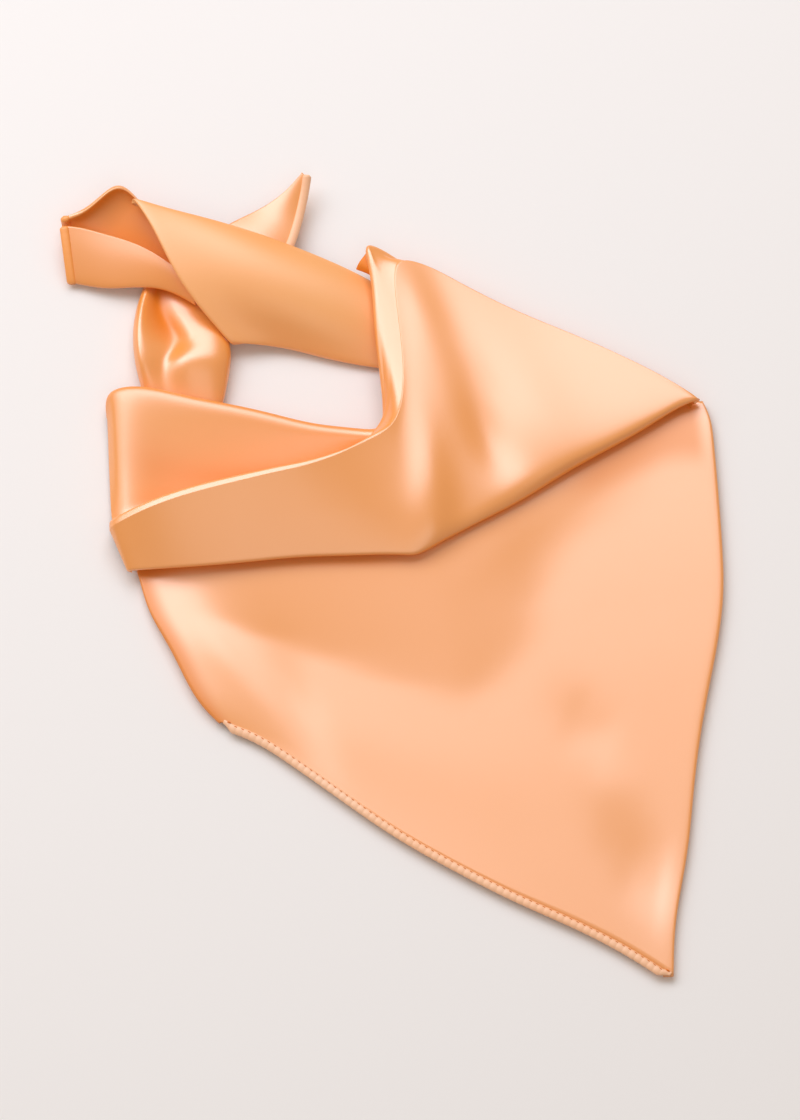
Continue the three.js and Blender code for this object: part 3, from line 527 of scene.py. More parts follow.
def collar_profile(at):
    """One line across the collar: rolled rim, valley, sharp crease, face, and the edge tucked under."""
    rim = rim_at(at)
    valley = placed(*valley_at(at))
    crease = placed(*crease_at(at))
    edge = placed(*edge_at(at))
    narrow = smooth((NARROWS_TO - at) / NARROWS_OVER)
    panel = past(at, *PANEL_STARTS)
    mouth = past(at, *MOUTH_OPENS) * (1 - panel)
    tips = mix(RIM_RIGHT_TIP, 1, narrow) * mix(RIM_LEFT_TIP, 1, past(at, *LEFT_TIP))
    radius = RIM_RADIUS * tips * mix(1, RIM_MOUTH, mouth)
    out = square_to(rim_at, at, RIM_STEP)
    centre = placed(rim[0] - out[0] * radius, rim[1] - out[1] * radius, rim[2])
    upright = np.array([0, 0, 1.0])

    def round_at(angle, scale):
        a = radians(angle)
        return centre + out * cos(a) * radius * scale + upright * sin(a) * radius * scale

    inward = -out
    reach = mix(mix(RIM_RETURN, MOUTH_RETURN, mouth), PANEL_RETURN * centre[2], panel)
    reach *= mix(TIP_RETURN, 1, narrow)
    drop = mix(mix(RIM_DROP, MOUTH_DROP, mouth), PANEL_DROP, panel) * narrow
    level = mix(SECOND_MID, THIRD_MID + TIP_LEVEL, past(at, *TIP_RISES))
    under = centre + inward * reach
    under[2] = max(level, centre[2] - radius - drop)
    belly = centre + inward * reach * BELLY_REACH
    belly[2] = mix(centre[2] - radius, under[2], 0.5)
    flare = exp(-(((at - FLARE_AT) / FLARE_WIDE) ** 2))
    under = mix(under, placed(*FLARE_UNDER), flare)
    belly = mix(belly, placed(*FLARE_BELLY), flare)
    rows = [under, belly] + [round_at(*guide) for guide in RIM_GUIDES]

    top = round_at(90, 1)
    to_rim = unit(flat(top) - flat(crease))
    turned = past(at, *CREASE_TURNS)
    lip = crease + to_rim * mix(CREASE_LIP / 2, LIP_PRESSED, turned) - upright * mix(*LIP_DROP, turned)
    pressed = mix(lip, valley, BRIM_PRESSED)
    brim = mix(crease + to_rim * CREASE_LIP - upright * BRIM_DROP, pressed, turned)
    rows += [mix(top, valley, share) for share in SLOPE_SHARES]
    rows += [valley, brim, lip, crease, crease.copy()]

    full, rise = rise_at(at)
    face = [(full * share, part) for share, part in FACE_ABOVE]
    face += [(mix(full, 1, share), part) for share, part in FACE_BELOW]
    rows += [mix(crease, edge, share) + upright * rise * part for share, part in face]
    rows.append(edge)

    back = unit(flat(crease) - flat(edge))
    room = float(np.linalg.norm(flat(crease) - flat(edge)))
    depth = min(TUCK_DEPTH, room * TUCK_ROOM)
    left_lift, right_lift = CORNER_LIFT
    corner_lift = left_lift * (1 - past(at, *LEFT_CORNER)) + right_lift * past(at, *RIGHT_CORNER)
    lift = corner_lift + fall_at(at)[0]
    end = THIRD_MID + mix(*TUCK_END, past(at, *TUCK_TURNS))
    for share, z in ((0.02, edge[2] - EDGE_DROP - lift), (0.4, THIRD_MID + TUCK_TURN), (1, end)):
        p = edge + back * depth * share
        p[2] = z + lift
        rows.append(p)
    return rows


left_at = curve_through(LEFT_SIDE)
right_at = curve_through(RIGHT_SIDE)
hem_at = curve_through(FRONT_HEM_LINE)


def side_of(at, curve, sign):
    """The middle of a side's rolled edge as it is seen, its radius, and which way is out."""
    across, up, radius = curve(at)
    out = square_to(curve, at, EDGE_STEP) * sign
    return across - out[0] * radius, up - out[1] * radius, radius, out


def start_of(at):
    """Where the sheet starts, at the end of the collar's tucked edge, as it is seen."""
    inner = collar_profile(at)[-1]
    return np.array([inner[0], inner[1] * UP_SIN + (SECOND_MID + fall_at(at)[0]) * UP_COS])


def hem_inner(u):
    """Where the sheet ends, just inside its hem, as it is seen."""
    across, up, _ = hem_at(u)
    into = square_to(hem_at, u, EDGE_STEP)
    return np.array([across + into[0] * (HEM_WIDTH + GAP), up + into[1] * (HEM_WIDTH + GAP)])


FRONT_ROWS = (
    0, 0.05, 0.085, 0.12, 0.16, 0.2, 0.245, 0.29, 0.335, 0.38, 0.43, 0.48, 0.53, 0.58, 0.63, 0.68, 0.73,
    0.78, 0.83, 0.88, 0.92, 0.96, 1,
)
FRONT_COLUMNS = (
    0, 0.03, 0.06, 0.1, 0.14, 0.18, 0.22, 0.26, 0.3, 0.34, 0.38, 0.42, 0.46, 0.5, 0.54, 0.58, 0.62,
    0.66, 0.7, 0.74, 0.78, 0.82, 0.86, 0.9, 0.93, 0.96, 0.98, 1,
)


def front_net():
    """The net between the two rolled sides, the collar's tucked edge and the hem."""
    start0, start1 = start_of(0), start_of(1)
    h0, h1 = hem_inner(0), hem_inner(1)
    a, b, c, d = (np.array(side_of(v, s, k)[:2]) for v, s, k in (
        (0, left_at, -1), (0, right_at, 1), (1, left_at, -1), (1, right_at, 1)))
    net = []
    for v in FRONT_ROWS:
        left = side_of(v, left_at, -1)
        right = side_of(v, right_at, 1)
        left_top = SECOND_MID + 2 * left[2]
        right_top = SECOND_MID + 2 * right[2]
        line = []
        for u in FRONT_COLUMNS:
            start = start_of(u) - mix(start0 - a, start1 - b, u)
            hem = hem_inner(u) - mix(h0 - c, h1 - d, u)
            spot = (
                mix(start, hem, v)
                + mix(np.array(left[:2]), np.array(right[:2]), u)
                - mix(mix(a, b, u), mix(c, d, u), v)
            )
            run = float(np.hypot(*(spot - start)))
            clear = past(run, TUCK_DEPTH, SHEET_CLEAR)
            lift, reach = fall_at(u)
            slope = min(1, max(0, (run - TUCK_DEPTH * 0.5) / (TUCK_DEPTH * 0.5 + reach)))
            dip = SHEET_DIP * lift * (1 - past(u, *DIP_EASES) * DIP_EASED)
            settle = (SHEET_REST - SHEET_END) * past(v, *HEM_SETTLES)
            body = mix(SECOND_MID + lift - dip, SHEET_REST, slope) - settle
            body += dip * (1 - past(run, TUCK_DEPTH * 0.5, TUCK_DEPTH))
            left_share = 1 - smooth(u / LEFT_SLOPE)
            right_share = 1 - smooth((1 - u) / mix(*RIGHT_SLOPE, smooth(v / RIGHT_WIDENS)))
            shoulder = past(run, TUCK_DEPTH * 0.7, SHOULDER)
            left_corner = mix(1 - smooth(u / LEFT_CORNER_SLOPE), 1, shoulder)
            right_corner = mix(1 - smooth((1 - u) / RIGHT_CORNER_SLOPE), 1, shoulder)
            sides = (
                body
                + (left_top - body) * left_share * left_corner
                + (right_top - body) * right_share * right_corner
            )
            free = clear * smooth((1 - v) / SWELLS_BEFORE_HEM)
            free *= smooth(u / SWELLS_PAST_LEFT)
            free *= smooth((1 - u) / SWELLS_BEFORE_RIGHT)
            height = max(SECOND_MID, sides + swell(FRONT_SWELLS, *spot) * free)
            line.append(placed(*spot, height))

        def roll(side):
            across, up, radius, out = side
            centre = placed(across, up, SECOND_MID + radius)

            def at(angle, scale):
                a = radians(angle)
                return centre + out * cos(a) * radius * scale + np.array([0, 0, sin(a) * radius * scale])

            guides = [at(*guide) for guide in SIDE_GUIDES]
            return [guides[0] - out * SIDE_RETURN * min(1, radius / 3), *guides]

        net.append(roll(left) + line + roll(right)[::-1])
    return net


FRONT_FINE = (5, 5)
front_grid = surface_of(front_net(), *FRONT_FINE)
# Painted shade on the sheet in three places: how strong, and where along its rows or columns it begins or
# ends.
SIDE_PAINTED_SHADE = 0.6
SIDE_ENDS = (0.11, 0.045)
MOUTH_PAINTED_SHADOW = 0.8
MOUTH_ENDS = (0.13, 0.06)
MOUTH_RIGHT = (0.45, 0.1)
WEDGE_PAINTED_SHADOW = 0.4
WEDGE_ENDS = (0.13, 0.09)
WEDGE_LEFT = (0.66, 0.06)
WEDGE_RIGHT = (0.84, 0.04)


def front_painted_shade(r, c):
    """Painted shade along the left side, and painted shadow in the fold's mouth under the flap and under
    the panel.
    """
    side = SIDE_PAINTED_SHADE * (1 - past(c, *SIDE_ENDS))
    mouth = MOUTH_PAINTED_SHADOW * (1 - past(r, *MOUTH_ENDS)) * (1 - past(c, *MOUTH_RIGHT))
    wedge_shadow = WEDGE_PAINTED_SHADOW * (1 - past(r, *WEDGE_ENDS)) * past(c, *WEDGE_LEFT) * (1 - past(c, *WEDGE_RIGHT))
    return max(side, mouth, wedge_shadow)


front_point = cloth_piece("satin_front_point", front_grid, SATIN, back=front_painted_shade)
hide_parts("front_point")

# The rolled hem of the front point.
# The satin's raw edge rolled twice to a cord and held by small slip stitches of matching thread.
# It runs just outside the sheet, and each stitch pinches it a little.
HEM_THICK = 2.2
HEM_SIDES = 12
HEM_LAP = 1.0
HEM_SPAN = HEM_WIDTH + HEM_LAP
HEM_FULLNESS = 1.05
HEM_GIRTH = 0.01
HEM_END_WIDE = 0.5
HEM_END_THICK = 0.4
HEM_ENDS = 3
FRONT_HEM_ENDS = 14
HEM_DRAW = 5
HEM_INSIDE = 3
WELD = 0.002
STITCH_PITCH = 3.7
STITCH_STEPS = 8
STITCH_FIRST = 6
STITCH_LAST = 4
STITCH_SIZE = (2.2, 0.8, 0.4)
STITCH_SMALLEST = 0.5
STITCH_IN = 0.3
STITCH_UP = 0.33
PINCH_WIDE = 0.07
PINCH_THICK = 0.2
PINCH_SHARP = 0.6
# The hem's satin has less gloss and a paler base to make up for it: the paler base is painted sheen.
HEM_PALE_PAINTED_SHEEN = (0.98, 0.64, 0.44)
HEM_GLOSS = 0.6
THREAD_COLOUR = (0.74, 0.19, 0.03, 1)
HEM_SATIN = satin("peach_satin_hem", pale=HEM_PALE_PAINTED_SHEEN, gloss=HEM_GLOSS)
thread = Dye("peach_thread")
skin = thread.node("ShaderNodeBsdfPrincipled", values={
    "Base Color": THREAD_COLOUR, "Roughness": 0.85, "Specular IOR Level": 0.1})
thread.node("ShaderNodeOutputMaterial", values={"Surface": skin})
THREAD = thread.material


def path_points(points, pitch):
    """The same path with points at an even pitch, and how far along each is."""
    points = np.array(points)
    runs = np.concatenate([[0], np.cumsum(np.linalg.norm(np.diff(points, axis=0), axis=1))])
    count = max(2, round(runs[-1] / pitch))
    at = np.linspace(0, runs[-1], count + 1)
    return np.stack([np.interp(at, runs, points[:, k]) for k in range(3)], axis=1), at


def hem_piece(name, edge, inner, pull=1.0, ends=HEM_ENDS, cloth=HEM_SATIN):
    """A rolled hem along an edge of a sheet, from the edge's points and those just inside it.

    pull tells how deep the stitches pinch it, and ends over how many steps of the path it comes
    out from under the sheet at its two ends."""
    points, at = path_points(edge, STITCH_PITCH / STITCH_STEPS)
    inside, _ = path_points(inner, STITCH_PITCH / STITCH_STEPS)
    n = len(points)
    inside = inside[np.linspace(0, len(inside) - 1, n).round().astype(int)]
    rim = {}
    bm = bmesh.new()
    layer = bm.loops.layers.uv.new("cloth")
    bmesh.ops.create_grid(bm, x_segments=HEM_SIDES, y_segments=n - 1, size=1, calc_uvs=True)
    for v in bm.verts:
        k = (v.co.x + 1) / 2 * HEM_SIDES
        i = round((1 - v.co.y) / 2 * (n - 1))
        p = points[i]
        run = unit(points[min(n - 1, i + 1)] - points[max(0, i - 1)])
        out = p - inside[i]
        out = unit(out - run * float(np.dot(out, run)))
        up = np.cross(run, out)
        up = up if up[2] > 0 else -up
        pinch = abs(sin(pi * at[i] / STITCH_PITCH)) ** PINCH_SHARP
        wide = HEM_SPAN * mix(1 - PINCH_WIDE * pull, 1.0, pinch) / 2
        thick = HEM_THICK * mix(1 - PINCH_THICK * pull, 1.0, pinch) / 2
        end = smooth((min(i, n - 1 - i) + 0.5) / ends)
        wide *= mix(HEM_END_WIDE, 1, end)
        thick *= mix(HEM_END_THICK, 1, end)
        a = 2 * pi * k / HEM_SIDES
        centre = p + out * (GAP + (HEM_WIDTH - HEM_LAP) / 2 - (1 - end) * (ends - HEM_ENDS) / HEM_DRAW)
        v.co = centre + out * cos(a) * wide * HEM_FULLNESS + up * sin(a) * thick * HEM_FULLNESS
        rim.setdefault(i, (centre, run, out, up))
    for face in bm.faces:
        for loop in face.loops:
            u, w = loop[layer].uv
            loop[layer].uv = (u * HEM_GIRTH, w * at[-1] * MM)
    bmesh.ops.remove_doubles(bm, verts=bm.verts, dist=WELD)
    bmesh.ops.holes_fill(bm, edges=[e for e in bm.edges if e.is_boundary], sides=0)
    bmesh.ops.recalc_face_normals(bm, faces=bm.faces)
    hem = finish_piece(bm, name, cloth)
    threads = bmesh.new()
    for i in range(STITCH_FIRST, n - STITCH_LAST, STITCH_STEPS):
        centre, run, out, up = rim[i]
        spot = centre - out * HEM_SPAN * STITCH_IN + up * HEM_THICK * STITCH_UP
        turn = Matrix((Vector(run), Vector(out), Vector(up))).transposed().to_4x4()
        size = Vector(STITCH_SIZE) * mix(STITCH_SMALLEST, 1, pull)
        shape = Matrix.Translation(spot) @ turn @ Matrix.Diagonal((*size, 1))
        bmesh.ops.create_uvsphere(threads, u_segments=8, v_segments=5, radius=0.5, matrix=shape)
    bmesh.ops.recalc_face_normals(threads, faces=threads.faces)
    return hem, finish_piece(threads, name + "_stitches", THREAD)


ROLL_COLUMNS = (len(SIDE_GUIDES) + 1) * FRONT_FINE[1]
front_hem, front_stitches = hem_piece(
    "rolled_front_hem",
    front_grid[-1, ROLL_COLUMNS:-ROLL_COLUMNS],
    front_grid[-1 - HEM_INSIDE, ROLL_COLUMNS:-ROLL_COLUMNS],
    ends=FRONT_HEM_ENDS,
)
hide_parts("front_hem")

# The collar fold and its panel.
# The folded edge of the square turned over to the front: a rolled rim round the neck,
# a sharp crease and a broad face whose lower edge is tucked under.
PANEL_SWELLS = [
    # across, up, half length, half width, turn in degrees, rise
    (45, 65, 22, 9, -81, -4.2), (33, 34, 20, 11, 52, -2.2), (16, 38, 40, 9, 97, 2.2),
    (72, 66, 34, 18, -60, 2), (14, 112, 30, 8, -78, 1), (14, 31, 20, 12, 90, 1.3),
]
STRETCHES = [
    # start along the collar, length, spans: closest round the corner of the crease
    (0.0, 0.48, 13), (0.48, 0.32, 26), (0.8, 0.2, 10),
]
COLLAR_STATIONS = [
    start + length * i / spans for start, length, spans in STRETCHES for i in range(spans)
] + [1.0]
RIM_ROWS = 2 + len(RIM_GUIDES)
VALLEY_ROW = RIM_ROWS + len(SLOPE_SHARES)
TUCK_ROWS = 3
SWELLS_FROM = (6, 12)
END_BULGE = 0.8
END_BULGE_DROP = 2.2
END_SIDE = 0.55
END_TUCK = 1.2
END_REST_RIM = SECOND_MID + 0.4
END_REST_LEFT = THIRD_MID + 1.8
END_REST_RIGHT = THIRD_MID + 2.2
COLLAR_FINE = (6, 5)


def collar_net():
    """The profiles turned into rows along the collar, each closed down to the table at its two ends."""
    profiles = [collar_profile(at) for at in COLLAR_STATIONS]
    count = len(profiles[0])
    net = []
    for k in range(count):
        row = [profile[k].copy() for profile in profiles]
        tucked = k >= count - TUCK_ROWS
        if k >= RIM_ROWS and not tucked:
            for p in row:
                up = p[1] * UP_SIN + p[2] * UP_COS
                p[2] += swell(PANEL_SWELLS, p[0], up) * past(p[2], *SWELLS_FROM)

        def ends(tip, near, rest):
            out = unit(flat(tip) - flat(near))
            drop = 0 if tucked else max(0, tip[2] - rest)
            bulge = out * END_BULGE * min(END_BULGE_DROP, drop)
            side = tip + bulge - np.array([0, 0, drop * END_SIDE])
            low = tip - out * END_TUCK - np.array([0, 0, drop])
            return side, low

        left_rest = END_REST_RIM if k < VALLEY_ROW else END_REST_LEFT
        left_side, left_low = ends(row[0], row[1], left_rest)
        right_side, right_low = ends(row[-1], row[-2], END_REST_RIGHT)
        net.append([left_low, left_side, *row, right_side, right_low])
    return net


# How much of the dull back and of painted shade shows on the collar, and where along its rows or columns
# that begins or ends.
UNDER_ENDS = (0.06, 0.05)
TOP_PAINTED_SHADE = 0.14
TOP_BEGINS = (0.09, 0.03)
TOP_ENDS = (0.18, 0.05)
TOP_RIGHT = (0.26, 0.04)
HOLLOW_PAINTED_SHADE = 0.35
HOLLOW_FROM = (0.11, 0.285)
HOLLOW_SLANT = 0.4
HOLLOW_WIDE = 0.028
HOLLOW_LEFT = (0.05, 0.05)
HOLLOW_RIGHT = (0.22, 0.05)


def collar_back_and_shade(r, c):
    """The turned-under side of the rim, painted shade dulling its top, and painted shade down the collar's
    hollow.
    """
    under = 1 - past(r, *UNDER_ENDS)
    top = TOP_PAINTED_SHADE * past(r, *TOP_BEGINS) * (1 - past(r, *TOP_ENDS)) * (1 - past(c, *TOP_RIGHT))
    first_column, first_row = HOLLOW_FROM
    off = r - first_row - (c - first_column) * HOLLOW_SLANT
    shade = exp(-((off / HOLLOW_WIDE) ** 2)) * (past(c, *HOLLOW_LEFT) * (1 - past(c, *HOLLOW_RIGHT)))
    return max(under, top, HOLLOW_PAINTED_SHADE * shade)


collar_grid = surface_of(collar_net(), *COLLAR_FINE)
collar_fold = cloth_piece("satin_collar_fold", collar_grid, SATIN, back=collar_back_and_shade)
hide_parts("collar_fold")

# The band round the back of the neck.
# The right end of the rolled kerchief, passed round to the knot and folded on the diagonal there.
# It bows up off the table between its back edge and its lower edge.
# The band's satin has less gloss and a paler base than the rest: the paler base is painted sheen.
ROLLED_PALE_PAINTED_SHEEN = (0.97, 0.43, 0.12)
SATIN_ROLLED = satin("peach_satin_rolled", pale=ROLLED_PALE_PAINTED_SHEEN, gloss=0.75)
BAND_BACK = [
    # at, across, up, height
    (0.0, -134, 183, 22.5), (0.1, -118, 178, 21.5), (0.25, -94, 172, 20), (0.45, -60, 161, 16),
    (0.7, -23, 145.5, 9.8), (0.88, -7, 136.5, 7.5), (1.0, 2, 131.5, 6.5),
]
BAND_FRONT = [
    # at, across, up, height
    (0.0, -83, 107.5, 10), (0.25, -58, 105, 4.6), (0.5, -36, 99.5, 3.4),
    (0.75, -14, 95.5, 3.2), (1.0, 2, 93.5, 3.2),
]
BAND_DIAGONAL = [
    # at, across, up, height
    (0.0, -134, 183, 22.5), (0.16, -125.5, 171, 25), (0.38, -117, 154, 25),
    (0.6, -107.5, 137, 22.4), (0.82, -95, 121.5, 16.4), (1.0, -83, 107.5, 10),
]
BAND_ROWS = (0, 0.08, 0.2, 0.36, 0.54, 0.72, 0.87, 1)
BAND_COLUMNS = (0, 0.06, 0.14, 0.24, 0.36, 0.48, 0.6, 0.72, 0.84, 1)
BAND_BOW = (6.6, 4)
BOW_LOWERS = (0.45, 0.45)
BOW_PEAK = 0.78
BOW_RISES = 0.35
FOLD_INWARD = (0.95, -0.3, 0)
FOLD_TURN = (-0.35, 0.14)
FOLD_ROUND = (-0.6, -0.6, -1.5)
FOLD_LOW = 1.5
FOLD_LOW_DROP = 3.2
FOLD_RETURN = (16, 9)
FOLD_DROP = (4, 3.2)
TOP_EDGE_TURN = (0, -3, -2.4)
LOW_EDGE_TURN = (0, 3.4, -1.4)
LOW_EDGE_CLEAR = 0.2
BAND_FINE = (12, 10)


def patch_net(first, last, start, finish, rows, columns, rise):
    """A net over four bounding curves of seen points, with the rise added over its middle."""
    a, b, c, d = start(0), start(1), finish(0), finish(1)
    net = []
    for v in rows:
        line = []
        for u in columns:
            p = (
                mix(start(u), finish(u), v) + mix(first(v), last(v), u)
                - mix(mix(a, b, u), mix(c, d, u), v)
            )
            line.append(placed(p[0], p[1], p[2] + rise(u, v)))
        net.append(line)
    return net


def band_net():
    """The band's top, the fold turned under at its diagonal end, and its long edges turned down."""
    back, front, diagonal = (curve_through(t) for t in (BAND_BACK, BAND_FRONT, BAND_DIAGONAL))

    def hidden(v):
        return mix(back(1), front(1), v)

    def hump(u, v):
        high = mix(*BAND_BOW, past(u, *BOW_LOWERS))
        return high * sin(pi * v**BOW_PEAK) * smooth(u / BOW_RISES)

    net = patch_net(diagonal, hidden, back, front, BAND_ROWS, BAND_COLUMNS, hump)
    # The fold's lower line takes the turn of the row before, its inner line that of its own row.
    inward = np.array(FOLD_INWARD)
    for row, share in zip(net, BAND_ROWS):
        fold = row[0]
        low = fold + inward * FOLD_LOW - np.array([0, 0, FOLD_LOW_DROP])
        inward[1] = mix(*FOLD_TURN, share)
        inner = fold + inward * mix(*FOLD_RETURN, share) - np.array([0, 0, mix(*FOLD_DROP, share)])
        row[:0] = [inner, low, fold + np.array(FOLD_ROUND)]
    upper = [p + np.array(TOP_EDGE_TURN) for p in net[0]]
    lower = [p + np.array(LOW_EDGE_TURN) for p in net[-1]]
    for p in lower:
        p[2] = max(p[2], FLOOR_MID + LOW_EDGE_CLEAR)
    return [upper, *net, lower]


band_grid = surface_of(band_net(), *BAND_FINE)
neck_band = cloth_piece("satin_neck_band", band_grid, SATIN_ROLLED)
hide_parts("neck_band")

# The blunt end at the left and its hem.
# The end of the strand opens like a scoop: a near lip, the underside and a far wall,
# hemmed across its end.
# The tails' hems keep the deeper base: a shaded copy of the hem's satin, painted shade.
HEM_SHADED = satin("peach_satin_hem_shaded", gloss=HEM_GLOSS)
TAIL_LIP = [
    # at, across, up, height
    (0.0, -167, 167.5, 12.5), (0.2, -159, 166.5, 12.5), (0.4, -148, 163.5, 13),
    (0.6, -132, 158.5, 15), (0.8, -118, 150.5, 17.3), (1.0, -106, 142, 18.6),
]
TAIL_UNDER = [
    # at, across, up, height
    (0.0, -163, 136.5, 3), (0.2, -155, 135, 4), (0.4, -143.5, 134, 6),
    (0.6, -128, 135, 9), (0.8, -114, 132.5, 11), (1.0, -102, 126, 12.5),
]
TAIL_FAR = [
    # at, across, up, height
    (0.0, -166.5, 170.5, 11.5), (0.2, -157, 175, 16), (0.4, -147, 184, 21),
    (0.6, -138, 186, 20.5), (0.8, -127, 174, 16.6), (1.0, -114, 159, 13.6),
]
TAIL_STEPS = 10
TAIL_FINE = (12, 10)
TAIL_PULL = 0.2


def tail_net():
    """Nine lines along the tail: the near wall from its lip down, the floor, and the far wall."""
    lip_at, under_at, far_at = (curve_through(t) for t in (TAIL_LIP, TAIL_UNDER, TAIL_FAR))
    net = [[] for _ in range(9)]
    for i in range(TAIL_STEPS + 1):
        at = i / TAIL_STEPS
        lip, under, far = placed(*lip_at(at)), placed(*under_at(at)), placed(*far_at(at))
        opened = smooth(at / 0.4)
        floor = under + np.array([0, 7, 0.0])
        floor[2] = max(SECOND_MID, under[2] - 1.6)
        floor_far = mix(floor, np.array([far[0], far[1], floor[2]]), 0.55)
        wall = np.array([mix(far[0], floor_far[0], 0.4), far[1] + 0.8, mix(floor[2], far[2], 0.5)])
        wall[1] = max(wall[1], floor_far[1] + 1.5)
        face1 = mix(lip, under, 0.35) + np.array([0, 0, 1.4])
        face2 = mix(lip, under, 0.75) + np.array([0, 0, 1.2])
        roll = far + np.array([0, 2.4, -2.6 * opened])
        for line, p in zip(net, (lip, face1, face2, under, floor, floor_far, wall, far, roll)):
            line.append(p)
    return net


# How much of the dull back, painted shade and painted light shows on the tail, and where across it or
# along it that begins, eases or ends.
INSIDE_BEGINS = (0.42, 0.06)
INSIDE_ENDS = (0.84, 0.05)
FAR_WALL = (0.6, 0.1)
FAR_WALL_DULL = 0.65
OPEN_END = 0.5
OPEN_END_DULL = 0.5
NEAR_WALL_ENDS = (0.36, 0.06)
NEAR_WALL_PAINTED_SHADE = 0.16


def tail_back_and_shade(r, c):
    """The inside is the cloth's back, eased by painted light up the far wall and at the open end; painted
    shade on the near wall.
    """
    inside = past(r, *INSIDE_BEGINS) * (1 - past(r, *INSIDE_ENDS))
    inside *= mix(1, FAR_WALL_DULL, past(r, *FAR_WALL))
    inside *= mix(OPEN_END_DULL, 1, smooth(c / OPEN_END))
    return inside + NEAR_WALL_PAINTED_SHADE * (1 - past(r, *NEAR_WALL_ENDS))


tail_grid = surface_of(tail_net(), *TAIL_FINE)
blunt_tail = cloth_piece("satin_blunt_tail", tail_grid, SATIN, back=tail_back_and_shade)
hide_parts("blunt_tail")
blunt_tail_hem, blunt_tail_stitches = hem_piece(
    "rolled_blunt_tail_hem", tail_grid[:, 0], tail_grid[:, HEM_INSIDE],
    pull=TAIL_PULL, cloth=HEM_SHADED,
)
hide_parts("blunt_tail_hem")

# The strand that rises out of the collar into the knot.
# The other end of the kerchief gathered into one soft pleat: a ridge, a groove and a full belly.
# It passes under the band's diagonal.
RISER = [
    # up, left, ridge, groove, belly, right, high, low, full
    (139, -127, -125.5, -120, -110, -96, 5.6, 2.4, 5.6),
    (131, -130.5, -128, -121, -107, -93, 8.6, 2.2, 7.2),
    (123, -132.5, -129.5, -119, -106.5, -89.5, 11.5, 2.2, 9.6),
    (115, -133.5, -129.5, -114, -103, -87, 13, 2.8, 12),
    (108, -133.5, -129, -110.5, -101, -85, 13.5, 5, 13.4),
    (101, -132.8, -128, -117, -107, -84.4, 13, 8.6, 15),
    (94, -131.6, -126, -118.5, -106, -85.6, 10.9, 8.2, 12.3),
    (87, -129.8, -124, -117, -104, -87.8, 8.5, 7.4, 8.8),
    (80.5, -128, -122, -116, -104, -90, 6.8, 6.2, 6.8),
]
# Its lower rows slant, to follow the collar's rim that they go under.
SLANT = 0.2
SLANT_BELOW = 100
SLANT_OVER = 18
SLANT_ABOUT = -123
STRAND_FINE = (12, 9)


def riser_net():
    """A row across the strand for each row of the table, its two edges turned under."""
    net = []
    for row_up, left, ridge, groove, belly, right, high, low, full in RISER:
        slant = SLANT * smooth((SLANT_BELOW - row_up) / SLANT_OVER)

        def at(across, height):
            return placed(across, row_up - slant * (across - SLANT_ABOUT), height)

        net.append([
            at(left + 4, SECOND_MID), at(left + 0.6, SECOND_MID + 0.4),
            at(left - 0.6, mix(SECOND_MID, high, 0.45)), at(mix(left, ridge, 0.35), high * 0.97),
            at(ridge, high), at(mix(ridge, groove, 0.6), mix(high, low, 0.6)), at(groove, low),
            at(mix(groove, belly, 0.45), mix(low, full, 0.65)), at(belly, full),
            at(mix(belly, right, 0.6), full * 0.94), at(right - 1, mix(SECOND_MID, full, 0.65)),
            at(right + 0.6, mix(SECOND_MID, full, 0.25)), at(right - 4, SECOND_MID),
        ])
    return net


GROOVE_MIDDLE = 0.46
GROOVE_WIDE = 0.14
GROOVE_ENDS = (0.3, 0.25)


def strand_painted_shade(r, c):
    """Painted shade in the groove, most of all up by the band."""
    return smooth(1 - abs(c - GROOVE_MIDDLE) / GROOVE_WIDE) * (1 - past(r, *GROOVE_ENDS))


strand_grid = surface_of(riser_net(), *STRAND_FINE)
knot_strand = cloth_piece("satin_knot_strand", strand_grid, SATIN, back=strand_painted_shade)
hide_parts("knot_strand")

# The pointed end behind the band and its hem.
# The corner of the square that comes out of the knot, with a slight crease along it.
# Its right edge is hemmed.
POINT_LEFT = [
    # at, across, up, height
    (0.0, -96, 160, 12.6), (0.35, -84, 169.5, 12.2), (0.6, -70, 176, 10),
    (0.82, -57.5, 185, 11), (1.0, -49.2, 194.5, 13),
]
POINT_RIGHT = [
    # at, across, up, height
    (0.0, -61, 148, 11), (0.35, -56, 160, 10.2), (0.6, -52.5, 171, 9),
    (0.82, -49.5, 184, 10.5), (1.0, -48.2, 193.5, 13),
]
POINT_ROWS = (0, 0.15, 0.3, 0.45, 0.6, 0.75, 0.88, 1)
POINT_COLUMNS = (0, 0.2, 0.4, 0.6, 0.8, 1)
POINT_CROWN = 3
POINT_FINE = (8, 8)


def point_net():
    """Rows from the left edge to the right one, crowned where the end comes out of the knot."""
    left, right = curve_through(POINT_LEFT), curve_through(POINT_RIGHT)
    net = []
    for v in POINT_ROWS:
        a, b = left(v), right(v)
        line = []
        for u in POINT_COLUMNS:
            across, up, height = mix(a, b, u)
            line.append(placed(across, up, height + POINT_CROWN * sin(pi * u) * (1 - v)))
        net.append(line)
    return net


point_grid = surface_of(point_net(), *POINT_FINE)
pointed_tail = cloth_piece("satin_pointed_tail", point_grid, SATIN)
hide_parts("pointed_tail")
pointed_tail_hem, pointed_tail_stitches = hem_piece(
    "rolled_pointed_tail_hem", point_grid[:, -1], point_grid[:, -1 - HEM_INSIDE], pull=TAIL_PULL,
)
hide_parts("pointed_tail_hem")

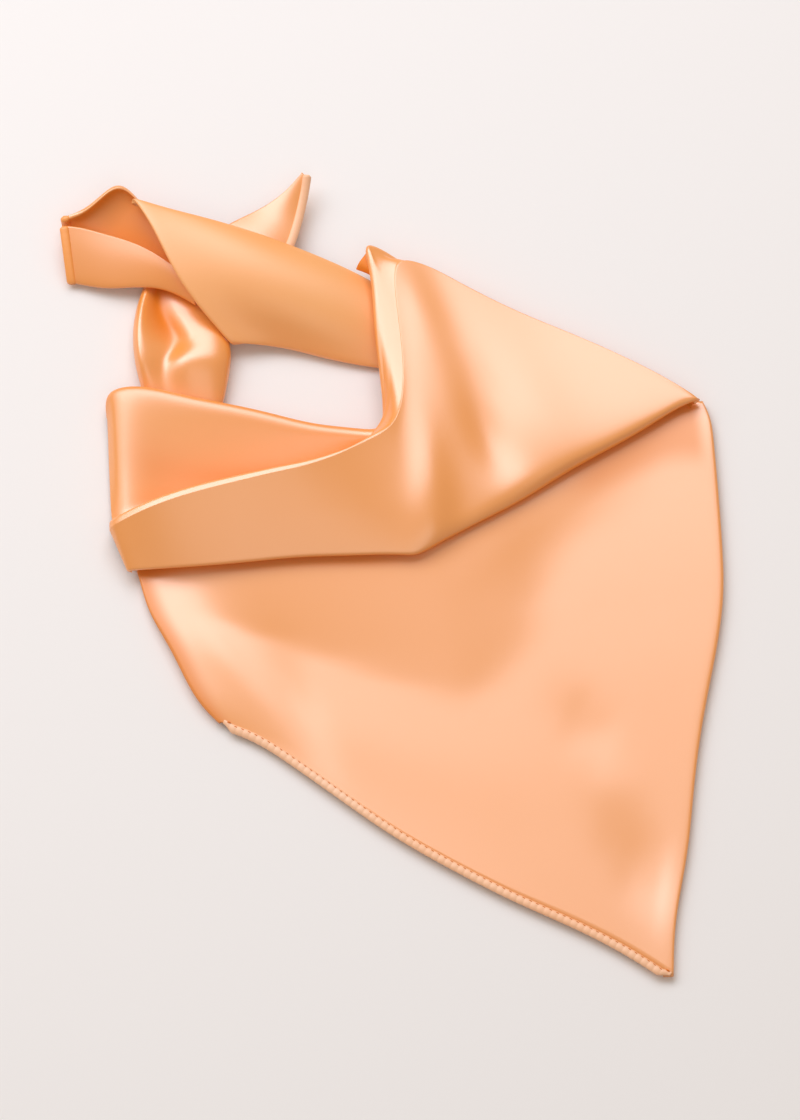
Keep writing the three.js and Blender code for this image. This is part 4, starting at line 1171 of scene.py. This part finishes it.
# The table top under the scarf.
# A plain pale matt board, wide enough to fill the picture.
FLOOR_HALF = 3.0
FLOOR_DROP = 0.0002
FLOOR_COLOUR = (0.885, 0.85, 0.85, 1)
bm = bmesh.new()
bmesh.ops.create_grid(bm, x_segments=1, y_segments=1, size=FLOOR_HALF)
bmesh.ops.translate(bm, vec=(0, 0, -FLOOR_DROP), verts=bm.verts)
mesh = bpy.data.meshes.new("table_top")
bm.to_mesh(mesh)
bm.free()
floor = bpy.data.objects.new("floor", mesh)
bpy.context.scene.collection.objects.link(floor)
paint = Dye("pale_table")
skin = paint.node("ShaderNodeBsdfPrincipled", values={
    "Base Color": FLOOR_COLOUR, "Roughness": 0.7, "Specular IOR Level": 0.2})
paint.node("ShaderNodeOutputMaterial", values={"Surface": skin})
mesh.materials.append(paint.material)

# The light of the studio.
# A broad window behind the knot, a small one at the left, a faint one over the front,
# and the warm glow of a pale room.
LIGHTS = [
    # name, place from the scarf, width and height, watts, colour
    ("window", (-0.5, 1.2, 1.75), (2.6, 1.5), 40.3, (0.915, 0.939, 1.0)),
    ("side", (-1.55, 0.72, 1.2), (1.3, 1.0), 5.0, (0.98, 0.99, 1.0)),
    ("ceiling", (0.1, -0.95, 1.95), (1.2, 1.2), 4.0, (1.0, 0.97, 0.92)),
]
ROOM_COLOUR = (1.0, 0.91, 0.76, 1)
ROOM_STRENGTH = 0.38
target = Vector((MIDDLE[0] * MM, MIDDLE[1] * MM, 0))


def soft_light(name, place, size, power, colour):
    lamp = bpy.data.lights.new(name, "AREA")
    lamp.shape = "RECTANGLE"
    lamp.size, lamp.size_y = size
    lamp.energy = power
    lamp.color = colour
    light = bpy.data.objects.new(name, lamp)
    bpy.context.scene.collection.objects.link(light)
    light.location = target + Vector(place)
    light.rotation_euler = (target - light.location).to_track_quat("-Z", "Y").to_euler()


for row in LIGHTS:
    soft_light(*row)
world = bpy.data.worlds.new("room")
bpy.context.scene.world = world
world.use_nodes = True
glow = world.node_tree.nodes["Background"]
glow.inputs["Color"].default_value = ROOM_COLOUR
glow.inputs["Strength"].default_value = ROOM_STRENGTH

# The camera, over the front of the table.
# It looks down at the angle of the photograph, through a lens so long that lines stay parallel.
PICTURE_HIGH = 0.56
CAMERA_FAR = 15.0
SENSOR = 36.0
lens = bpy.data.cameras.new("camera")
lens.sensor_width = SENSOR
lens.lens = SENSOR * CAMERA_FAR / PICTURE_HIGH
camera = bpy.data.objects.new("camera", lens)
bpy.context.scene.collection.objects.link(camera)
camera.location = target + Vector((0, -UP_COS, UP_SIN)) * CAMERA_FAR
camera.rotation_euler = (pi / 2 - SEEN_FROM, 0, 0)
bpy.context.scene.camera = camera
bpy.context.scene.view_settings.view_transform = "Standard"
